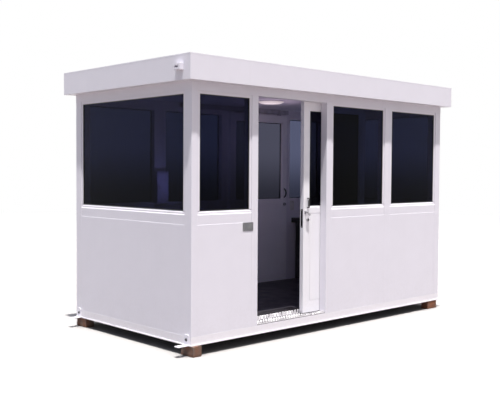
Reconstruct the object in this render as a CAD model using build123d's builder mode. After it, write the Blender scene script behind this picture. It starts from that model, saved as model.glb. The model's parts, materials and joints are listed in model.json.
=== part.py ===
from build123d import *
import os

# Booth plan, in millimetres
booth_length = 3658.0          # 12 ft along X
booth_width = 1829.0           # 6 ft along Y
wall_thickness = 76.0

# Front wall from left to right; the back wall is the same wall turned half round
corner_width = 92.0            # outer corner to the sight edge of the first window
window_1_width = 572.0
door_post_width = 102.0        # sight edge of a window to the edge of the doorway
doorway_width = 928.0
window_2_width = 802.0
wide_post_width = 152.0        # between the sight edges of the second and third windows
right_corner_width = 118.0     # the last window takes what the length leaves before it
end_corner_width = 117.5       # outer corner to the sight edge of an end window

# Heights above the underside of the base frame
base_height = 76.0
sill_height = 1133.0
head_height = 2119.0
header_height = 75.0           # window frame to the soffit
fascia_height = 216.0

# Timber blocks under the corners
timber_size = 89.0
timber_length = 165.0
timber_arris = 4.0
timber_step_out = 30.0         # the front left block shows in front of the wall
timber_back_setback = 14.0
timber_front_inset = 31.0      # the front right block stands in from the corner

# Base frame of channels, floor plate and floor deck
channel_web = 5.0
channel_flange = 38.0
channel_flange_thickness = 6.0
base_lip = 5.0                 # hem that stands proud along the bottom edge
base_lip_height = 9.0
joist_count = 5
joist_width = 50.0
joist_wall = 4.0
floor_plate_thickness = 4.0
floor_deck_thickness = 46.0
deck_edge_rounding = 4.0

# Anchor clips at both ends
clip_width = 60.0
clip_thickness = 6.0
clip_leg = 95.0
clip_foot = 115.0
clip_inset = 28.0              # wall corner to the side of the clip
clip_corner = 9.0
clip_hole_radius = 9.0
clip_bolt_height = 50.0
clip_bolt_reach = 70.0         # wall face to the hole in the foot

# Wall skin, rails and window frames
post_rounding = 3.0
panel_recess = 0.5
panel_bevel = 2.0              # along the top edge, which sheds rain from the rail's joint
sill_rail_height = 90.0
rail_recess = 2.0
ledge_height = 9.0             # sloped top edge of a sill rail, up to the window frame
frame_face = 25.0              # width of a window frame bar as seen from outside
frame_recess = 6.0
frame_joint = 0.3              # open joint between frame bars
glass_thickness = 6.0
glass_setback = 13.0           # wall face to the outer face of the glass
glass_bite = 8.0               # depth of the glazing groove
glass_clearance = 0.3
sill_rise = 12.0               # slope of the bottom bar, up to the glass

# Roof, fascia and scuppers
fascia_overhang = 82.0
fascia_thickness = 38.0
soffit_thickness = 3.0
hem_proud = 4.0
hem_height = 14.0
cap_fall = 4.0
roof_thickness = 76.0
scupper_width = 90.0
scupper_height = 52.0
scupper_reach = 45.0
scupper_slot_width = 46.0
scupper_slot_height = 18.0
scupper_from_corner = 50.0
scupper_above_roof = 30.0      # roof surface to the middle of the scupper
light_radius = 140.0
light_rim_depth = 10.0
light_bowl_depth = 22.0
light_bowl_bands = 2

# Tread planks in the doorways
plank_width = 142.0
plank_gap = 14.0
plank_thickness = 4.5
plank_stop = 184.0             # the planks end this far before the right edge of the doorway
plank_clearance = 1.0
plank_deck_gap = 7.0           # back plank to the floor deck
lug_pitch = 34.5
lug_radius = 12.5
lug_height = 6.5

# Sliding door leaves and their gear
leaf_thickness = 42.0
leaf_clearance = 5.0
leaf_lap = 4.0                 # leaf behind the doorway post at each side
leaf_head_lap = 8.0
stile_width = 93.0
top_rail_height = 93.0
middle_rail_height = 70.0
bottom_rail_height = 110.0
leaf_glass_height = 924.0
bead_width = 12.0
bead_depth = 7.0
leaf_panel_thickness = 36.0
clear_opening = 687.0          # doorway left free when the leaf is open
guide_slot_width = 14.0
guide_slot_depth = 16.0
guide_fin_thickness = 4.0
guide_fin_height = 22.0
guide_foot_width = 40.0
guide_length = 90.0
track_height = 50.0
track_sheet = 3.0
track_slot = 16.0
track_overrun = 20.0
wheel_radius = 13.0
wheel_thickness = 8.0
wheel_inset = 9.5              # middle of the track to the inner face of a wheel
wheel_gap = 0.3
axle_radius = 5.0              # hexagonal axle, across its corners
hanger_length = 60.0
hanger_plate = 6.0
hanger_inset = 120.0           # edge of the leaf to the middle of a hanger

# Door furniture, from the top down: insets are from the edge of the leaf to the middle of a piece
pull_height = 1167.0           # middle of the outer pull above the base
pull_inset = 58.0
pull_length = 96.0
pull_width = 11.0
pull_stand_off = 26.0
pull_bar = 8.0
pull_rounding = 2.5
turn_below_pull = 28.0
turn_inset = 30.0
turn_rose = 30.0               # side of the square rose
turn_rose_thickness = 4.0
turn_rose_chamfer = 3.0
turn_neck_radius = 6.0
turn_neck = 22.0
turn_lever_length = 52.0
turn_lever_width = 15.0
turn_lever_thickness = 9.0
turn_lever_angle = -40.0       # the lever hangs down and away from the edge
cylinder_below_turn = 43.0
cylinder_inset = 63.0
cylinder_radius = 15.0
cylinder_proud = 9.0
keyway_width = 3.0
keyway_length = 11.0
keyway_depth = 4.0
bow_height = 1203.0            # middle of the inner bow above the base
bow_inset = 41.0
bow_length = 120.0
bow_stand_off = 34.0
bow_foot = 13.0
bow_thickness = 8.0
bow_width = 16.0
bow_chamfer = 2.0
knob_below_bow = 62.0
knob_radius = 16.0
knob_proud = 23.0
knob_chamfer = 4.0
lock_plate_height = 1017.0
lock_plate_width = 24.0
lock_plate_length = 180.0
lock_plate_thickness = 3.0

# Fittings
plate_width = 126.0
plate_height = 76.0
plate_thickness = 2.0
plate_corner = 4.0
plate_from_doorway = 58.0
plate_below_frame = 91.0       # underside of the window frame to the top of the plate
counter_depth = 546.0
counter_below_sill = 245.0     # sight edge of the windows to the top of the counter
counter_slab = 30.0
counter_nosing = 60.0
counter_nosing_thickness = 20.0
counter_rounding = 4.0
counter_front_thickness = 20.0
counter_front_setback = 24.0
box_width = 150.0
box_height = 349.0
box_depth = 50.0
box_above_rail = 8.5
box_lid_margin = 8.0
box_lid_thickness = 4.0
switch_width = 70.0
switch_height = 118.0
switch_thickness = 6.0
switch_from_frame = 46.0
switch_below_frame = 6.0

# Planes and levels that follow from the sizes
left_x = -booth_length / 2
right_x = booth_length / 2
front_y = -booth_width / 2
inner_y = front_y + wall_thickness
inner_left_x = left_x + wall_thickness
base_z = timber_size
base_top = base_z + base_height
plate_top = base_top + floor_plate_thickness
deck_top = plate_top + floor_deck_thickness
sill_z = base_z + sill_height
head_z = base_z + head_height
rail_top = sill_z - frame_face
rail_bottom = rail_top - sill_rail_height
header_bottom = head_z + frame_face
soffit_z = header_bottom + header_height
wall_top = soffit_z + soffit_thickness
fascia_top = soffit_z + fascia_height
roof_top = wall_top + roof_thickness

# Openings of the front wall, each a left and a right edge
window_1 = (left_x + corner_width, left_x + corner_width + window_1_width)
doorway = (window_1[1] + door_post_width, window_1[1] + door_post_width + doorway_width)
window_2 = (doorway[1] + door_post_width, doorway[1] + door_post_width + window_2_width)
window_3 = (window_2[1] + wide_post_width, right_x - right_corner_width)
front_windows = (window_1, window_2, window_3)
front_bays = [(start - frame_face, end + frame_face) for start, end in front_windows]
end_window = (front_y + end_corner_width, -front_y - end_corner_width)
end_bay = (end_window[0] - frame_face, end_window[1] + frame_face)
pane_reach = glass_bite - glass_clearance

# The closed leaf stands behind the front doorway
leaf_left = doorway[0] - leaf_lap
leaf_right = doorway[1] + leaf_lap
leaf_y = inner_y + leaf_clearance
leaf_middle_y = leaf_y + leaf_thickness / 2
leaf_back_y = leaf_y + leaf_thickness
leaf_bottom = plate_top + plank_thickness + lug_height + leaf_clearance
leaf_top = header_bottom + leaf_head_lap
leaf_travel = clear_opening + leaf_lap
leaf_glass_top = leaf_top - top_rail_height
leaf_glass_bottom = leaf_glass_top - leaf_glass_height
leaf_panel_top = leaf_glass_bottom - middle_rail_height
leaf_panel_bottom = leaf_bottom + bottom_rail_height
deck_edge_y = leaf_back_y + leaf_clearance

# Sketch plane of a wall face: x runs along the wall and y is the height
front_face = Plane(origin=(0, front_y, 0), x_dir=(1, 0, 0), z_dir=(0, -1, 0))
left_face = Plane(origin=(left_x, 0, 0), x_dir=(0, -1, 0), z_dir=(-1, 0, 0))
# Sketch plane of a profile that runs along X: x is Y and y is the height
profile_plane = Plane(origin=(0, 0, 0), x_dir=(0, 1, 0), z_dir=(1, 0, 0))


def section_plane(face, start):
    """Sketch plane across a wall face: x is how far out, y is the height and -z runs along the wall."""
    return Plane(origin=face.from_local_coords((start, 0, 0)), x_dir=face.z_dir, z_dir=-face.x_dir)


def rectangle(x0, x1, y0, y1, mode=Mode.ADD):
    """A rectangle between two pairs of coordinates in the current sketch."""
    with Locations(((x0 + x1) / 2, (y0 + y1) / 2)):
        Rectangle(x1 - x0, y1 - y0, mode=mode)


def outline(points):
    """A filled closed outline through points, in the current sketch."""
    Polygon(*points, align=None)


def write(part, node, half_turn=False, shift=0.0):
    """Label a finished piece, set it at rest and write it as one file."""
    placed = Location((shift, 0, 0)) * part
    if half_turn:
        placed = placed.rotate(Axis.Z, 180)
    placed.label = node
    export_step(placed, f"parts/{node}.step")


def mitre(corner_x, corner_y, toward):
    """Plane through a plan corner that keeps the run on the side of toward."""
    return Plane(origin=(corner_x, corner_y, 0), x_dir=(0, 0, 1), z_dir=toward)


def long_run(profile, half_length, edge_y):
    """A profile run along X, mitred where its outer edge meets the ends."""
    with BuildPart() as run:
        with BuildSketch(profile_plane):
            outline(profile)
        extrude(amount=half_length * 2, both=True)
        split(bisect_by=mitre(-half_length, edge_y, (1, -1, 0)), keep=Keep.TOP)
        split(bisect_by=mitre(half_length, edge_y, (-1, -1, 0)), keep=Keep.TOP)
    return run.part


os.makedirs("parts", exist_ok=True)

# Timber blocks, with weathered arrises
with BuildPart() as timber_blocks:
    lengthwise = Plane(origin=(0, front_y - timber_step_out, 0), x_dir=(1, 0, 0), z_dir=(0, -1, 0))
    rear_y = -front_y - timber_back_setback
    rear = Plane(origin=(0, rear_y, 0), x_dir=(1, 0, 0), z_dir=(0, -1, 0))
    with BuildSketch(lengthwise):
        with Locations((left_x + timber_size / 2, timber_size / 2)):
            Rectangle(timber_size, timber_size)
    extrude(amount=-timber_length)
    with BuildSketch(rear):
        with Locations((left_x + timber_size / 2, timber_size / 2),
                       (right_x - timber_size / 2, timber_size / 2)):
            Rectangle(timber_size, timber_size)
    extrude(amount=timber_length)
    chamfer(timber_blocks.edges().filter_by(Axis.Y), timber_arris)
    crosswise = Plane(origin=(right_x - timber_front_inset, 0, 0), x_dir=(0, 1, 0), z_dir=(1, 0, 0))
    with BuildSketch(crosswise):
        with Locations((front_y + timber_size / 2, timber_size / 2)):
            Rectangle(timber_size, timber_size)
    cross_block = extrude(amount=-timber_length)
    chamfer(cross_block.edges().filter_by(Axis.X), timber_arris)
write(timber_blocks.part, "timber_blocks")

# Base channels: web outside, flanges inward and a hem along the bottom edge, cut behind the clips
clip_y = front_y + clip_inset + clip_width / 2
rail_profile = [
    (front_y - base_lip, base_z),
    (front_y + channel_flange, base_z),
    (front_y + channel_flange, base_z + channel_flange_thickness),
    (front_y + channel_web, base_z + channel_flange_thickness),
    (front_y + channel_web, base_top - channel_flange_thickness),
    (front_y + channel_flange, base_top - channel_flange_thickness),
    (front_y + channel_flange, base_top),
    (front_y, base_top),
    (front_y, base_z + base_lip_height),
    (front_y - base_lip, base_z + base_lip_height),
]
side_rail = long_run(rail_profile, booth_length / 2, front_y)
end_profile = [(y - front_y + left_x, z) for y, z in rail_profile]
with BuildPart() as end_rail:
    add(long_run(end_profile, booth_width / 2, left_x).rotate(Axis.Z, -90))
    with BuildSketch(Plane.XY.offset(base_z)):
        with Locations((left_x - base_lip / 2, clip_y), (left_x - base_lip / 2, -clip_y)):
            Rectangle(base_lip, clip_width)
    extrude(amount=base_lip_height, mode=Mode.SUBTRACT)
write(Part() + side_rail + side_rail.rotate(Axis.Z, 180), "base_side_rails")
write(Part() + end_rail.part + end_rail.part.rotate(Axis.Z, 180), "base_end_rails")

# Joists between the webs of the side rails
joist_height = base_height - 2 * channel_flange_thickness
joist_spacing = booth_length / (joist_count + 1)
with BuildPart() as base_joists:
    with BuildSketch(Plane.XZ.offset(-front_y - channel_web)):
        with Locations((0, base_z + base_height / 2)):
            with GridLocations(joist_spacing, 1, joist_count, 1):
                Rectangle(joist_width, joist_height)
                Rectangle(joist_width - 2 * joist_wall, joist_height - 2 * joist_wall, mode=Mode.SUBTRACT)
    extrude(amount=-(booth_width - 2 * channel_web))
write(base_joists.part, "base_joists")

# Floor plate under the walls, and the deck laid inside them round the doorway wells
with BuildPart() as floor_plate:
    with BuildSketch(Plane.XY.offset(base_top)):
        Rectangle(booth_length, booth_width)
    extrude(amount=floor_plate_thickness)
write(floor_plate.part, "floor_plate")

plank_right = doorway[1] - plank_stop
well_right = plank_right + plank_clearance
well_back = front_y + 2 * plank_width + plank_gap + plank_clearance
with BuildPart() as floor_deck:
    with BuildSketch(Plane.XY.offset(plate_top)):
        rectangle(inner_left_x, -inner_left_x, deck_edge_y, -deck_edge_y)
        rectangle(doorway[0] - plank_clearance, well_right, deck_edge_y, well_back, mode=Mode.SUBTRACT)
    extrude(amount=floor_deck_thickness)
    front_edges = floor_deck.edges().filter_by(Axis.X).group_by(Axis.Z)[-1].sort_by(Axis.Y)[:-1]
    fillet(front_edges, deck_edge_rounding)
write(floor_deck.part, "floor_deck")

# Anchor clips: an angle with one hole in each leg
with BuildPart() as anchor_clip:
    with BuildSketch(Plane.XZ.offset(-clip_y)):
        rectangle(left_x - clip_foot, left_x, base_z, base_z + clip_thickness)
        rectangle(left_x - clip_thickness, left_x, base_z, base_z + clip_leg)
    extrude(amount=clip_width / 2, both=True)
    foot_corners = anchor_clip.edges().filter_by(Axis.Z).group_by(Axis.X)[0]
    chamfer(foot_corners, clip_corner)
    top_corners = anchor_clip.edges().filter_by(Axis.X).group_by(Axis.Z)[-1]
    chamfer(top_corners, clip_corner)
    with Locations((left_x - clip_bolt_reach, clip_y, base_z + clip_thickness)):
        Hole(clip_hole_radius)
    with BuildSketch(Plane.YZ.offset(left_x)):
        with Locations((clip_y, base_z + clip_bolt_height)):
            Circle(clip_hole_radius)
    extrude(amount=-clip_thickness, mode=Mode.SUBTRACT)
left_clips = Part() + anchor_clip.part + anchor_clip.part.mirror(Plane.XZ)
write(left_clips + left_clips.mirror(Plane.YZ), "anchor_clips")

# Corner posts
corner_edges = (front_bays[0][0], front_bays[-1][1])
corner_depth = end_bay[0]
with BuildPart() as front_corners:
    with BuildSketch(Plane.XY.offset(plate_top)):
        rectangle(left_x, corner_edges[0], front_y, inner_y)
        rectangle(left_x, inner_left_x, inner_y, corner_depth)
        rectangle(corner_edges[1], right_x, front_y, inner_y)
        rectangle(-inner_left_x, right_x, inner_y, corner_depth)
    extrude(amount=header_bottom - plate_top)
    arrises = front_corners.edges().filter_by(Axis.Z).group_by(Axis.Y)[0]
    fillet([arrises.sort_by(Axis.X)[0], arrises.sort_by(Axis.X)[-1]], post_rounding)
back_corners = front_corners.part.rotate(Axis.Z, 180)
write(Part() + front_corners.part + back_corners, "corner_posts")

# Posts beside the doorway and between the windows
post_edges = ((front_bays[0][1], doorway[0]), (doorway[1], front_bays[1][0]),
              (front_bays[1][1], front_bays[2][0]))
with BuildPart() as front_posts:
    with BuildSketch(front_face):
        for start, end in post_edges:
            rectangle(start, end, plate_top, header_bottom)
    extrude(amount=-wall_thickness)
write(front_posts.part, "front_posts")
write(front_posts.part, "back_posts", half_turn=True)

# Lower panels and the sill rails over them
with BuildPart() as front_lower_panels:
    with BuildSketch(front_face.offset(-panel_recess)):
        for start, end in front_bays:
            rectangle(start, end, plate_top, rail_bottom)
    extrude(amount=-(wall_thickness - panel_recess))
    top_edges = front_lower_panels.edges().filter_by(Axis.X).group_by(Axis.Z)[-1]
    chamfer(top_edges.group_by(Axis.Y)[0], panel_bevel)
write(front_lower_panels.part, "front_lower_panels")
write(front_lower_panels.part, "back_lower_panels", half_turn=True)

with BuildPart() as left_lower_panel:
    with BuildSketch(left_face.offset(-panel_recess)):
        rectangle(end_bay[0], end_bay[1], plate_top, rail_bottom)
    extrude(amount=-(wall_thickness - panel_recess))
    top_edges = left_lower_panel.edges().filter_by(Axis.Y).group_by(Axis.Z)[-1]
    chamfer(top_edges.group_by(Axis.X)[0], panel_bevel)
write(left_lower_panel.part, "left_lower_panel")
write(left_lower_panel.part, "right_lower_panel", half_turn=True)


def sill_rail(face, start, end):
    """The rail under one window, with its top edge sloped back to the window frame."""
    with BuildPart() as rail:
        with BuildSketch(section_plane(face, start)):
            outline([
                (-wall_thickness, rail_bottom),
                (-rail_recess, rail_bottom),
                (-rail_recess, rail_top - ledge_height),
                (-frame_recess, rail_top),
                (-wall_thickness, rail_top),
            ])
        extrude(amount=-(end - start))
    return rail.part


front_rails = Part() + [sill_rail(front_face, start, end) for start, end in front_bays]
write(front_rails, "front_sill_rails")
write(front_rails, "back_sill_rails", half_turn=True)
left_rail = sill_rail(left_face, *end_bay)
write(Part() + left_rail + left_rail.rotate(Axis.Z, 180), "end_sill_rails")

# Headers: the long ones run from corner to corner
with BuildPart() as front_header:
    with BuildSketch(front_face):
        rectangle(left_x, right_x, header_bottom, wall_top)
    extrude(amount=-wall_thickness)
write(front_header.part, "front_header")
write(front_header.part, "back_header", half_turn=True)

with BuildPart() as left_header:
    with BuildSketch(left_face):
        rectangle(inner_y, -inner_y, header_bottom, wall_top)
    extrude(amount=-wall_thickness)
write(left_header.part, "left_header")
write(left_header.part, "right_header", half_turn=True)


def window_frame(face, start, end):
    """Four grooved bars round one window, on a wall face plane."""
    outer_start = start - frame_face
    outer_end = end + frame_face
    groove = glass_thickness + 2 * glass_clearance
    with BuildPart() as frame:
        with BuildSketch(face.offset(-frame_recess)):
            rectangle(outer_start, start, sill_z + frame_joint, head_z - frame_joint)
            rectangle(end, outer_end, sill_z + frame_joint, head_z - frame_joint)
            rectangle(outer_start, outer_end, head_z, header_bottom)
        extrude(amount=-(wall_thickness - frame_recess))
        with BuildSketch(section_plane(face, outer_start)):
            outline([
                (-wall_thickness, rail_top),
                (-frame_recess, rail_top),
                (-frame_recess, sill_z - sill_rise),
                (-glass_setback, sill_z),
                (-wall_thickness, sill_z),
            ])
        extrude(amount=-(outer_end - outer_start))
        with BuildSketch(face.offset(-glass_setback + glass_clearance)):
            rectangle(start - glass_bite, end + glass_bite, sill_z - glass_bite, head_z + glass_bite)
        extrude(amount=-groove, mode=Mode.SUBTRACT)
    return frame.part


def window_pane(face, start, end):
    """The glass of one window, held in the groove of its frame."""
    with BuildPart() as pane:
        with BuildSketch(face.offset(-glass_setback)):
            rectangle(start - pane_reach, end + pane_reach, sill_z - pane_reach, head_z + pane_reach)
        extrude(amount=-glass_thickness)
    return pane.part


front_frames = Part() + [window_frame(front_face, start, end) for start, end in front_windows]
write(front_frames, "front_window_frames")
write(front_frames, "back_window_frames", half_turn=True)
left_frame = window_frame(left_face, *end_window)
write(left_frame, "left_window_frame")
write(left_frame, "right_window_frame", half_turn=True)

front_panes = Part() + [window_pane(front_face, start, end) for start, end in front_windows]
write(front_panes, "front_glass")
write(front_panes, "back_glass", half_turn=True)
left_pane = window_pane(left_face, *end_window)
write(left_pane, "left_glass")
write(left_pane, "right_glass", half_turn=True)

# Roof panel between the fascias; its underside is the ceiling
fascia_y = front_y - fascia_overhang
fascia_x = left_x - fascia_overhang
fascia_inner_y = fascia_y + fascia_thickness
fascia_inner_x = fascia_x + fascia_thickness
with BuildPart() as roof_panel:
    with BuildSketch(Plane.XY.offset(wall_top)):
        rectangle(fascia_inner_x, -fascia_inner_x, fascia_inner_y, -fascia_inner_y)
    extrude(amount=roof_thickness)
write(roof_panel.part, "roof_panel")

# Fascias: soffit sheet, upright kerb and a hem along the top edge
fascia_profile = [
    (front_y, soffit_z),
    (fascia_y, soffit_z),
    (fascia_y, fascia_top - hem_height),
    (fascia_y - hem_proud, fascia_top - hem_height),
    (fascia_y - hem_proud, fascia_top),
    (fascia_inner_y, fascia_top - cap_fall),
    (fascia_inner_y, wall_top),
    (front_y, wall_top),
]
front_fascia = long_run(fascia_profile, booth_length / 2 + fascia_overhang, fascia_y)
write(front_fascia, "front_fascia")
write(front_fascia, "back_fascia", half_turn=True)

# The end fascias have a slot for the roof water, with a box spout over it
end_fascia_profile = [(y - front_y + left_x, z) for y, z in fascia_profile]
scupper_y = front_y + scupper_from_corner
scupper_z = roof_top + scupper_above_roof
spout_face = Plane(origin=(fascia_x, scupper_y, scupper_z), x_dir=(0, -1, 0), z_dir=(-1, 0, 0))
end_run = long_run(end_fascia_profile, booth_width / 2 + fascia_overhang, fascia_x)
with BuildPart() as left_fascia:
    add(end_run.rotate(Axis.Z, -90))
    with BuildSketch(spout_face):
        Rectangle(scupper_slot_width, scupper_slot_height)
    extrude(amount=-fascia_thickness, mode=Mode.SUBTRACT)
write(left_fascia.part, "left_fascia")
write(left_fascia.part, "right_fascia", half_turn=True)

with BuildPart() as scupper:
    with BuildSketch(spout_face):
        Rectangle(scupper_width, scupper_height)
        Rectangle(scupper_slot_width, scupper_slot_height, mode=Mode.SUBTRACT)
    extrude(amount=scupper_reach)
write(Part() + scupper.part + scupper.part.rotate(Axis.Z, 180), "roof_scuppers")

# Ceiling light: an upright rim with a shallow bowl of pressed bands under it
rim_z = wall_top - light_rim_depth
light_profile = [(0, wall_top), (light_radius, wall_top)]
for band in range(light_bowl_bands):
    share = band / light_bowl_bands
    light_profile.append((light_radius * (1 - share * share), rim_z - light_bowl_depth * share * (2 - share)))
light_profile.append((0, light_profile[-1][1]))
with BuildPart() as ceiling_light:
    with BuildSketch(Plane.XZ):
        outline(light_profile)
    revolve(axis=Axis.Z)
write(ceiling_light.part, "ceiling_light")


# Lug of the tread planks: a four-sided stud that comes to a point
with BuildPart() as lug:
    with BuildSketch() as lug_base:
        RegularPolygon(radius=lug_radius, side_count=4)
    loft([lug_base.sketch.face(), Vertex(0, 0, lug_height)])


def tread_plank(x0, x1, y0, y1):
    """A plank with a grid of lugs raised on its top face."""
    columns = int((x1 - x0) // lug_pitch)
    rows = int((y1 - y0) // lug_pitch)
    plank_top = plate_top + plank_thickness
    with BuildPart() as plank:
        with BuildSketch(Plane.XY.offset(plate_top)):
            rectangle(x0, x1, y0, y1)
        extrude(amount=plank_thickness)
        with Locations(((x0 + x1) / 2, (y0 + y1) / 2, plank_top)):
            with GridLocations(lug_pitch, lug_pitch, columns, rows):
                add(lug.part)
    return plank.part


plank_left = doorway[0] + plank_clearance
plank_front = front_y + plank_clearance
first_back = front_y + plank_width
second_front = first_back + plank_gap
short_start = plank_right + plank_gap / 2
short_plank = tread_plank(short_start, doorway[1] - plank_clearance, plank_front, inner_y)
sill_plank = tread_plank(plank_left, plank_right, plank_front, first_back)
inner_plank = tread_plank(plank_left, plank_right, second_front, second_front + plank_width)
write(Part() + [sill_plank, inner_plank, short_plank], "front_tread_planks")
back_plank = tread_plank(plank_left, plank_right, plank_front, deck_edge_y - plank_deck_gap)
write(Part() + [back_plank, short_plank], "back_tread_planks", half_turn=True)

# Door track: a channel with two lips that the wheels run on
track_half = leaf_middle_y - inner_y
track_bottom = wall_top - track_height
track_start = leaf_left - track_overrun
track_end = leaf_right + leaf_travel + track_overrun
with BuildPart() as door_track:
    with BuildSketch(Plane.YZ.offset(track_start)):
        with Locations((leaf_middle_y, track_bottom + track_height / 2)):
            Rectangle(2 * track_half, track_height)
            Rectangle(2 * (track_half - track_sheet), track_height - 2 * track_sheet, mode=Mode.SUBTRACT)
        with Locations((leaf_middle_y, track_bottom)):
            Rectangle(track_slot, 4 * track_sheet, mode=Mode.SUBTRACT)
    extrude(amount=track_end - track_start)
write(door_track.part, "front_track")
write(door_track.part, "back_track", half_turn=True)

# Floor guides: a foot with an upright fin that stays inside the groove of the leaf
guide_right = leaf_right - plank_gap
with BuildPart() as floor_guide:
    with BuildSketch(Plane.YZ.offset(guide_right - guide_length)):
        with Locations((leaf_middle_y, plate_top)):
            Rectangle(guide_foot_width, plank_thickness, align=(Align.CENTER, Align.MIN))
            Rectangle(guide_fin_thickness, guide_fin_height, align=(Align.CENTER, Align.MIN))
    extrude(amount=guide_length)
write(Part() + floor_guide.part + floor_guide.part.rotate(Axis.Z, 180), "floor_guides")

# Leaf frame: stiles, three rails, stepped beads and the guide groove
bead = bead_width
glass_left = leaf_left + stile_width
glass_right = leaf_right - stile_width
leaf_face = Plane(origin=(0, leaf_y, 0), x_dir=(1, 0, 0), z_dir=(0, -1, 0))
leaf_back = Plane(origin=(0, leaf_back_y, 0), x_dir=(1, 0, 0), z_dir=(0, -1, 0))
with BuildPart() as leaf_frame:
    with BuildSketch(leaf_face):
        rectangle(leaf_left, leaf_right, leaf_bottom, leaf_top)
        rectangle(glass_left, glass_right, leaf_glass_bottom, leaf_glass_top, mode=Mode.SUBTRACT)
        rectangle(glass_left, glass_right, leaf_panel_bottom, leaf_panel_top, mode=Mode.SUBTRACT)
    extrude(amount=-leaf_thickness)
    for face, depth in ((leaf_face, -bead_depth), (leaf_back, bead_depth)):
        with BuildSketch(face):
            rectangle(glass_left - bead, glass_right + bead,
                      leaf_glass_bottom - bead, leaf_glass_top + bead)
        extrude(amount=depth, mode=Mode.SUBTRACT)
    with BuildSketch(leaf_face.offset(-(leaf_thickness - glass_thickness) / 2 + glass_clearance)):
        rectangle(glass_left - glass_bite, glass_right + glass_bite,
                  leaf_glass_bottom - glass_bite, leaf_glass_top + glass_bite)
    extrude(amount=-(glass_thickness + 2 * glass_clearance), mode=Mode.SUBTRACT)
    with BuildSketch(Plane.XY.offset(leaf_bottom)):
        rectangle(leaf_left, leaf_right, leaf_middle_y - guide_slot_width / 2,
                  leaf_middle_y + guide_slot_width / 2)
    extrude(amount=guide_slot_depth, mode=Mode.SUBTRACT)
    with BuildSketch(Plane.YZ.offset(leaf_left)):
        with Locations((leaf_middle_y, base_z + lock_plate_height)):
            Rectangle(lock_plate_width, lock_plate_length)
    extrude(amount=lock_plate_thickness, mode=Mode.SUBTRACT)

with BuildPart() as leaf_glass:
    with BuildSketch(leaf_face.offset(-(leaf_thickness - glass_thickness) / 2)):
        rectangle(glass_left - pane_reach, glass_right + pane_reach,
                  leaf_glass_bottom - pane_reach, leaf_glass_top + pane_reach)
    extrude(amount=-glass_thickness)

with BuildPart() as leaf_panel:
    with BuildSketch(leaf_face.offset(-(leaf_thickness - leaf_panel_thickness) / 2)):
        rectangle(glass_left, glass_right, leaf_panel_bottom, leaf_panel_top)
    extrude(amount=-leaf_panel_thickness)

# Pulls: a slim straight one outside and an arched one inside
pull_x = leaf_left + pull_inset
pull_bottom = base_z + pull_height - pull_length / 2
pull_top = pull_bottom + pull_length
with BuildPart() as outer_pull:
    with BuildSketch(Plane.YZ.offset(pull_x)):
        rectangle(leaf_y - pull_stand_off, leaf_y, pull_bottom, pull_top)
        rectangle(leaf_y - pull_stand_off + pull_bar, leaf_y,
                  pull_bottom + pull_bar, pull_top - pull_bar, mode=Mode.SUBTRACT)
    extrude(amount=pull_width / 2, both=True)
    bar_edges = outer_pull.edges().filter_by(Axis.Z).group_by(Axis.Y)[0]
    fillet(bar_edges, pull_rounding)
bow_z = base_z + bow_height
bow_top = bow_z + bow_length / 2
bow_bottom = bow_z - bow_length / 2
with BuildPart() as inner_pull:
    with BuildSketch(Plane.YZ.offset(leaf_left + bow_inset)):
        with BuildLine():
            ThreePointArc((leaf_back_y, bow_bottom), (leaf_back_y + bow_stand_off, bow_z),
                          (leaf_back_y, bow_top))
            Line((leaf_back_y, bow_top), (leaf_back_y, bow_top - bow_foot))
            ThreePointArc((leaf_back_y, bow_top - bow_foot),
                          (leaf_back_y + bow_stand_off - bow_thickness, bow_z),
                          (leaf_back_y, bow_bottom + bow_foot))
            Line((leaf_back_y, bow_bottom + bow_foot), (leaf_back_y, bow_bottom))
        make_face()
    extrude(amount=bow_width / 2, both=True)
    outer_arcs = inner_pull.edges().filter_by(GeomType.CIRCLE).sort_by(SortBy.LENGTH)[-2:]
    chamfer(outer_arcs, bow_chamfer)
leaf_pulls = Part() + [outer_pull.part, inner_pull.part]

# Lock: edge plate, lever and cylinder outside, knob inside, each hung under the piece above it
turn_z = pull_bottom - turn_below_pull - turn_rose / 2
cylinder_z = turn_z - turn_rose / 2 - cylinder_below_turn - cylinder_radius
knob_z = bow_bottom - knob_below_bow - knob_radius
turn_spot = (leaf_left + turn_inset, turn_z)
cylinder_spot = (leaf_left + cylinder_inset, cylinder_z)
knob_spot = (leaf_left + bow_inset, knob_z)
lock_plate_spot = (leaf_middle_y, base_z + lock_plate_height)
with BuildPart() as lock_plate:
    with BuildSketch(Plane.YZ.offset(leaf_left)):
        with Locations(lock_plate_spot):
            Rectangle(lock_plate_width, lock_plate_length)
    extrude(amount=lock_plate_thickness)
with BuildPart() as lock_cylinder:
    with BuildSketch(leaf_face):
        with Locations(cylinder_spot):
            Circle(cylinder_radius)
    extrude(amount=cylinder_proud)
    with BuildSketch(leaf_face.offset(cylinder_proud)):
        with Locations(cylinder_spot):
            Rectangle(keyway_width, keyway_length)
    extrude(amount=-keyway_depth, mode=Mode.SUBTRACT)
with BuildPart() as lock_turn:
    with BuildSketch(leaf_face):
        with Locations(turn_spot):
            Rectangle(turn_rose, turn_rose)
    extrude(amount=turn_rose_thickness)
    chamfer(lock_turn.edges().filter_by(Axis.Y), turn_rose_chamfer)
    with BuildSketch(leaf_face.offset(turn_rose_thickness)):
        with Locations(turn_spot):
            Circle(turn_neck_radius)
    extrude(amount=turn_neck)
    with BuildSketch(leaf_face.offset(turn_rose_thickness + turn_neck)):
        with Locations(Location((*turn_spot, 0), (0, 0, turn_lever_angle))):
            with Locations((turn_lever_length / 2 - turn_lever_width / 2, 0)):
                SlotOverall(turn_lever_length, turn_lever_width)
    extrude(amount=turn_lever_thickness)
with BuildPart() as lock_knob:
    with BuildSketch(leaf_back):
        with Locations(knob_spot):
            Circle(knob_radius)
    extrude(amount=-knob_proud)
    chamfer(lock_knob.faces().sort_by(Axis.Y)[-1].edges(), knob_chamfer)
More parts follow.
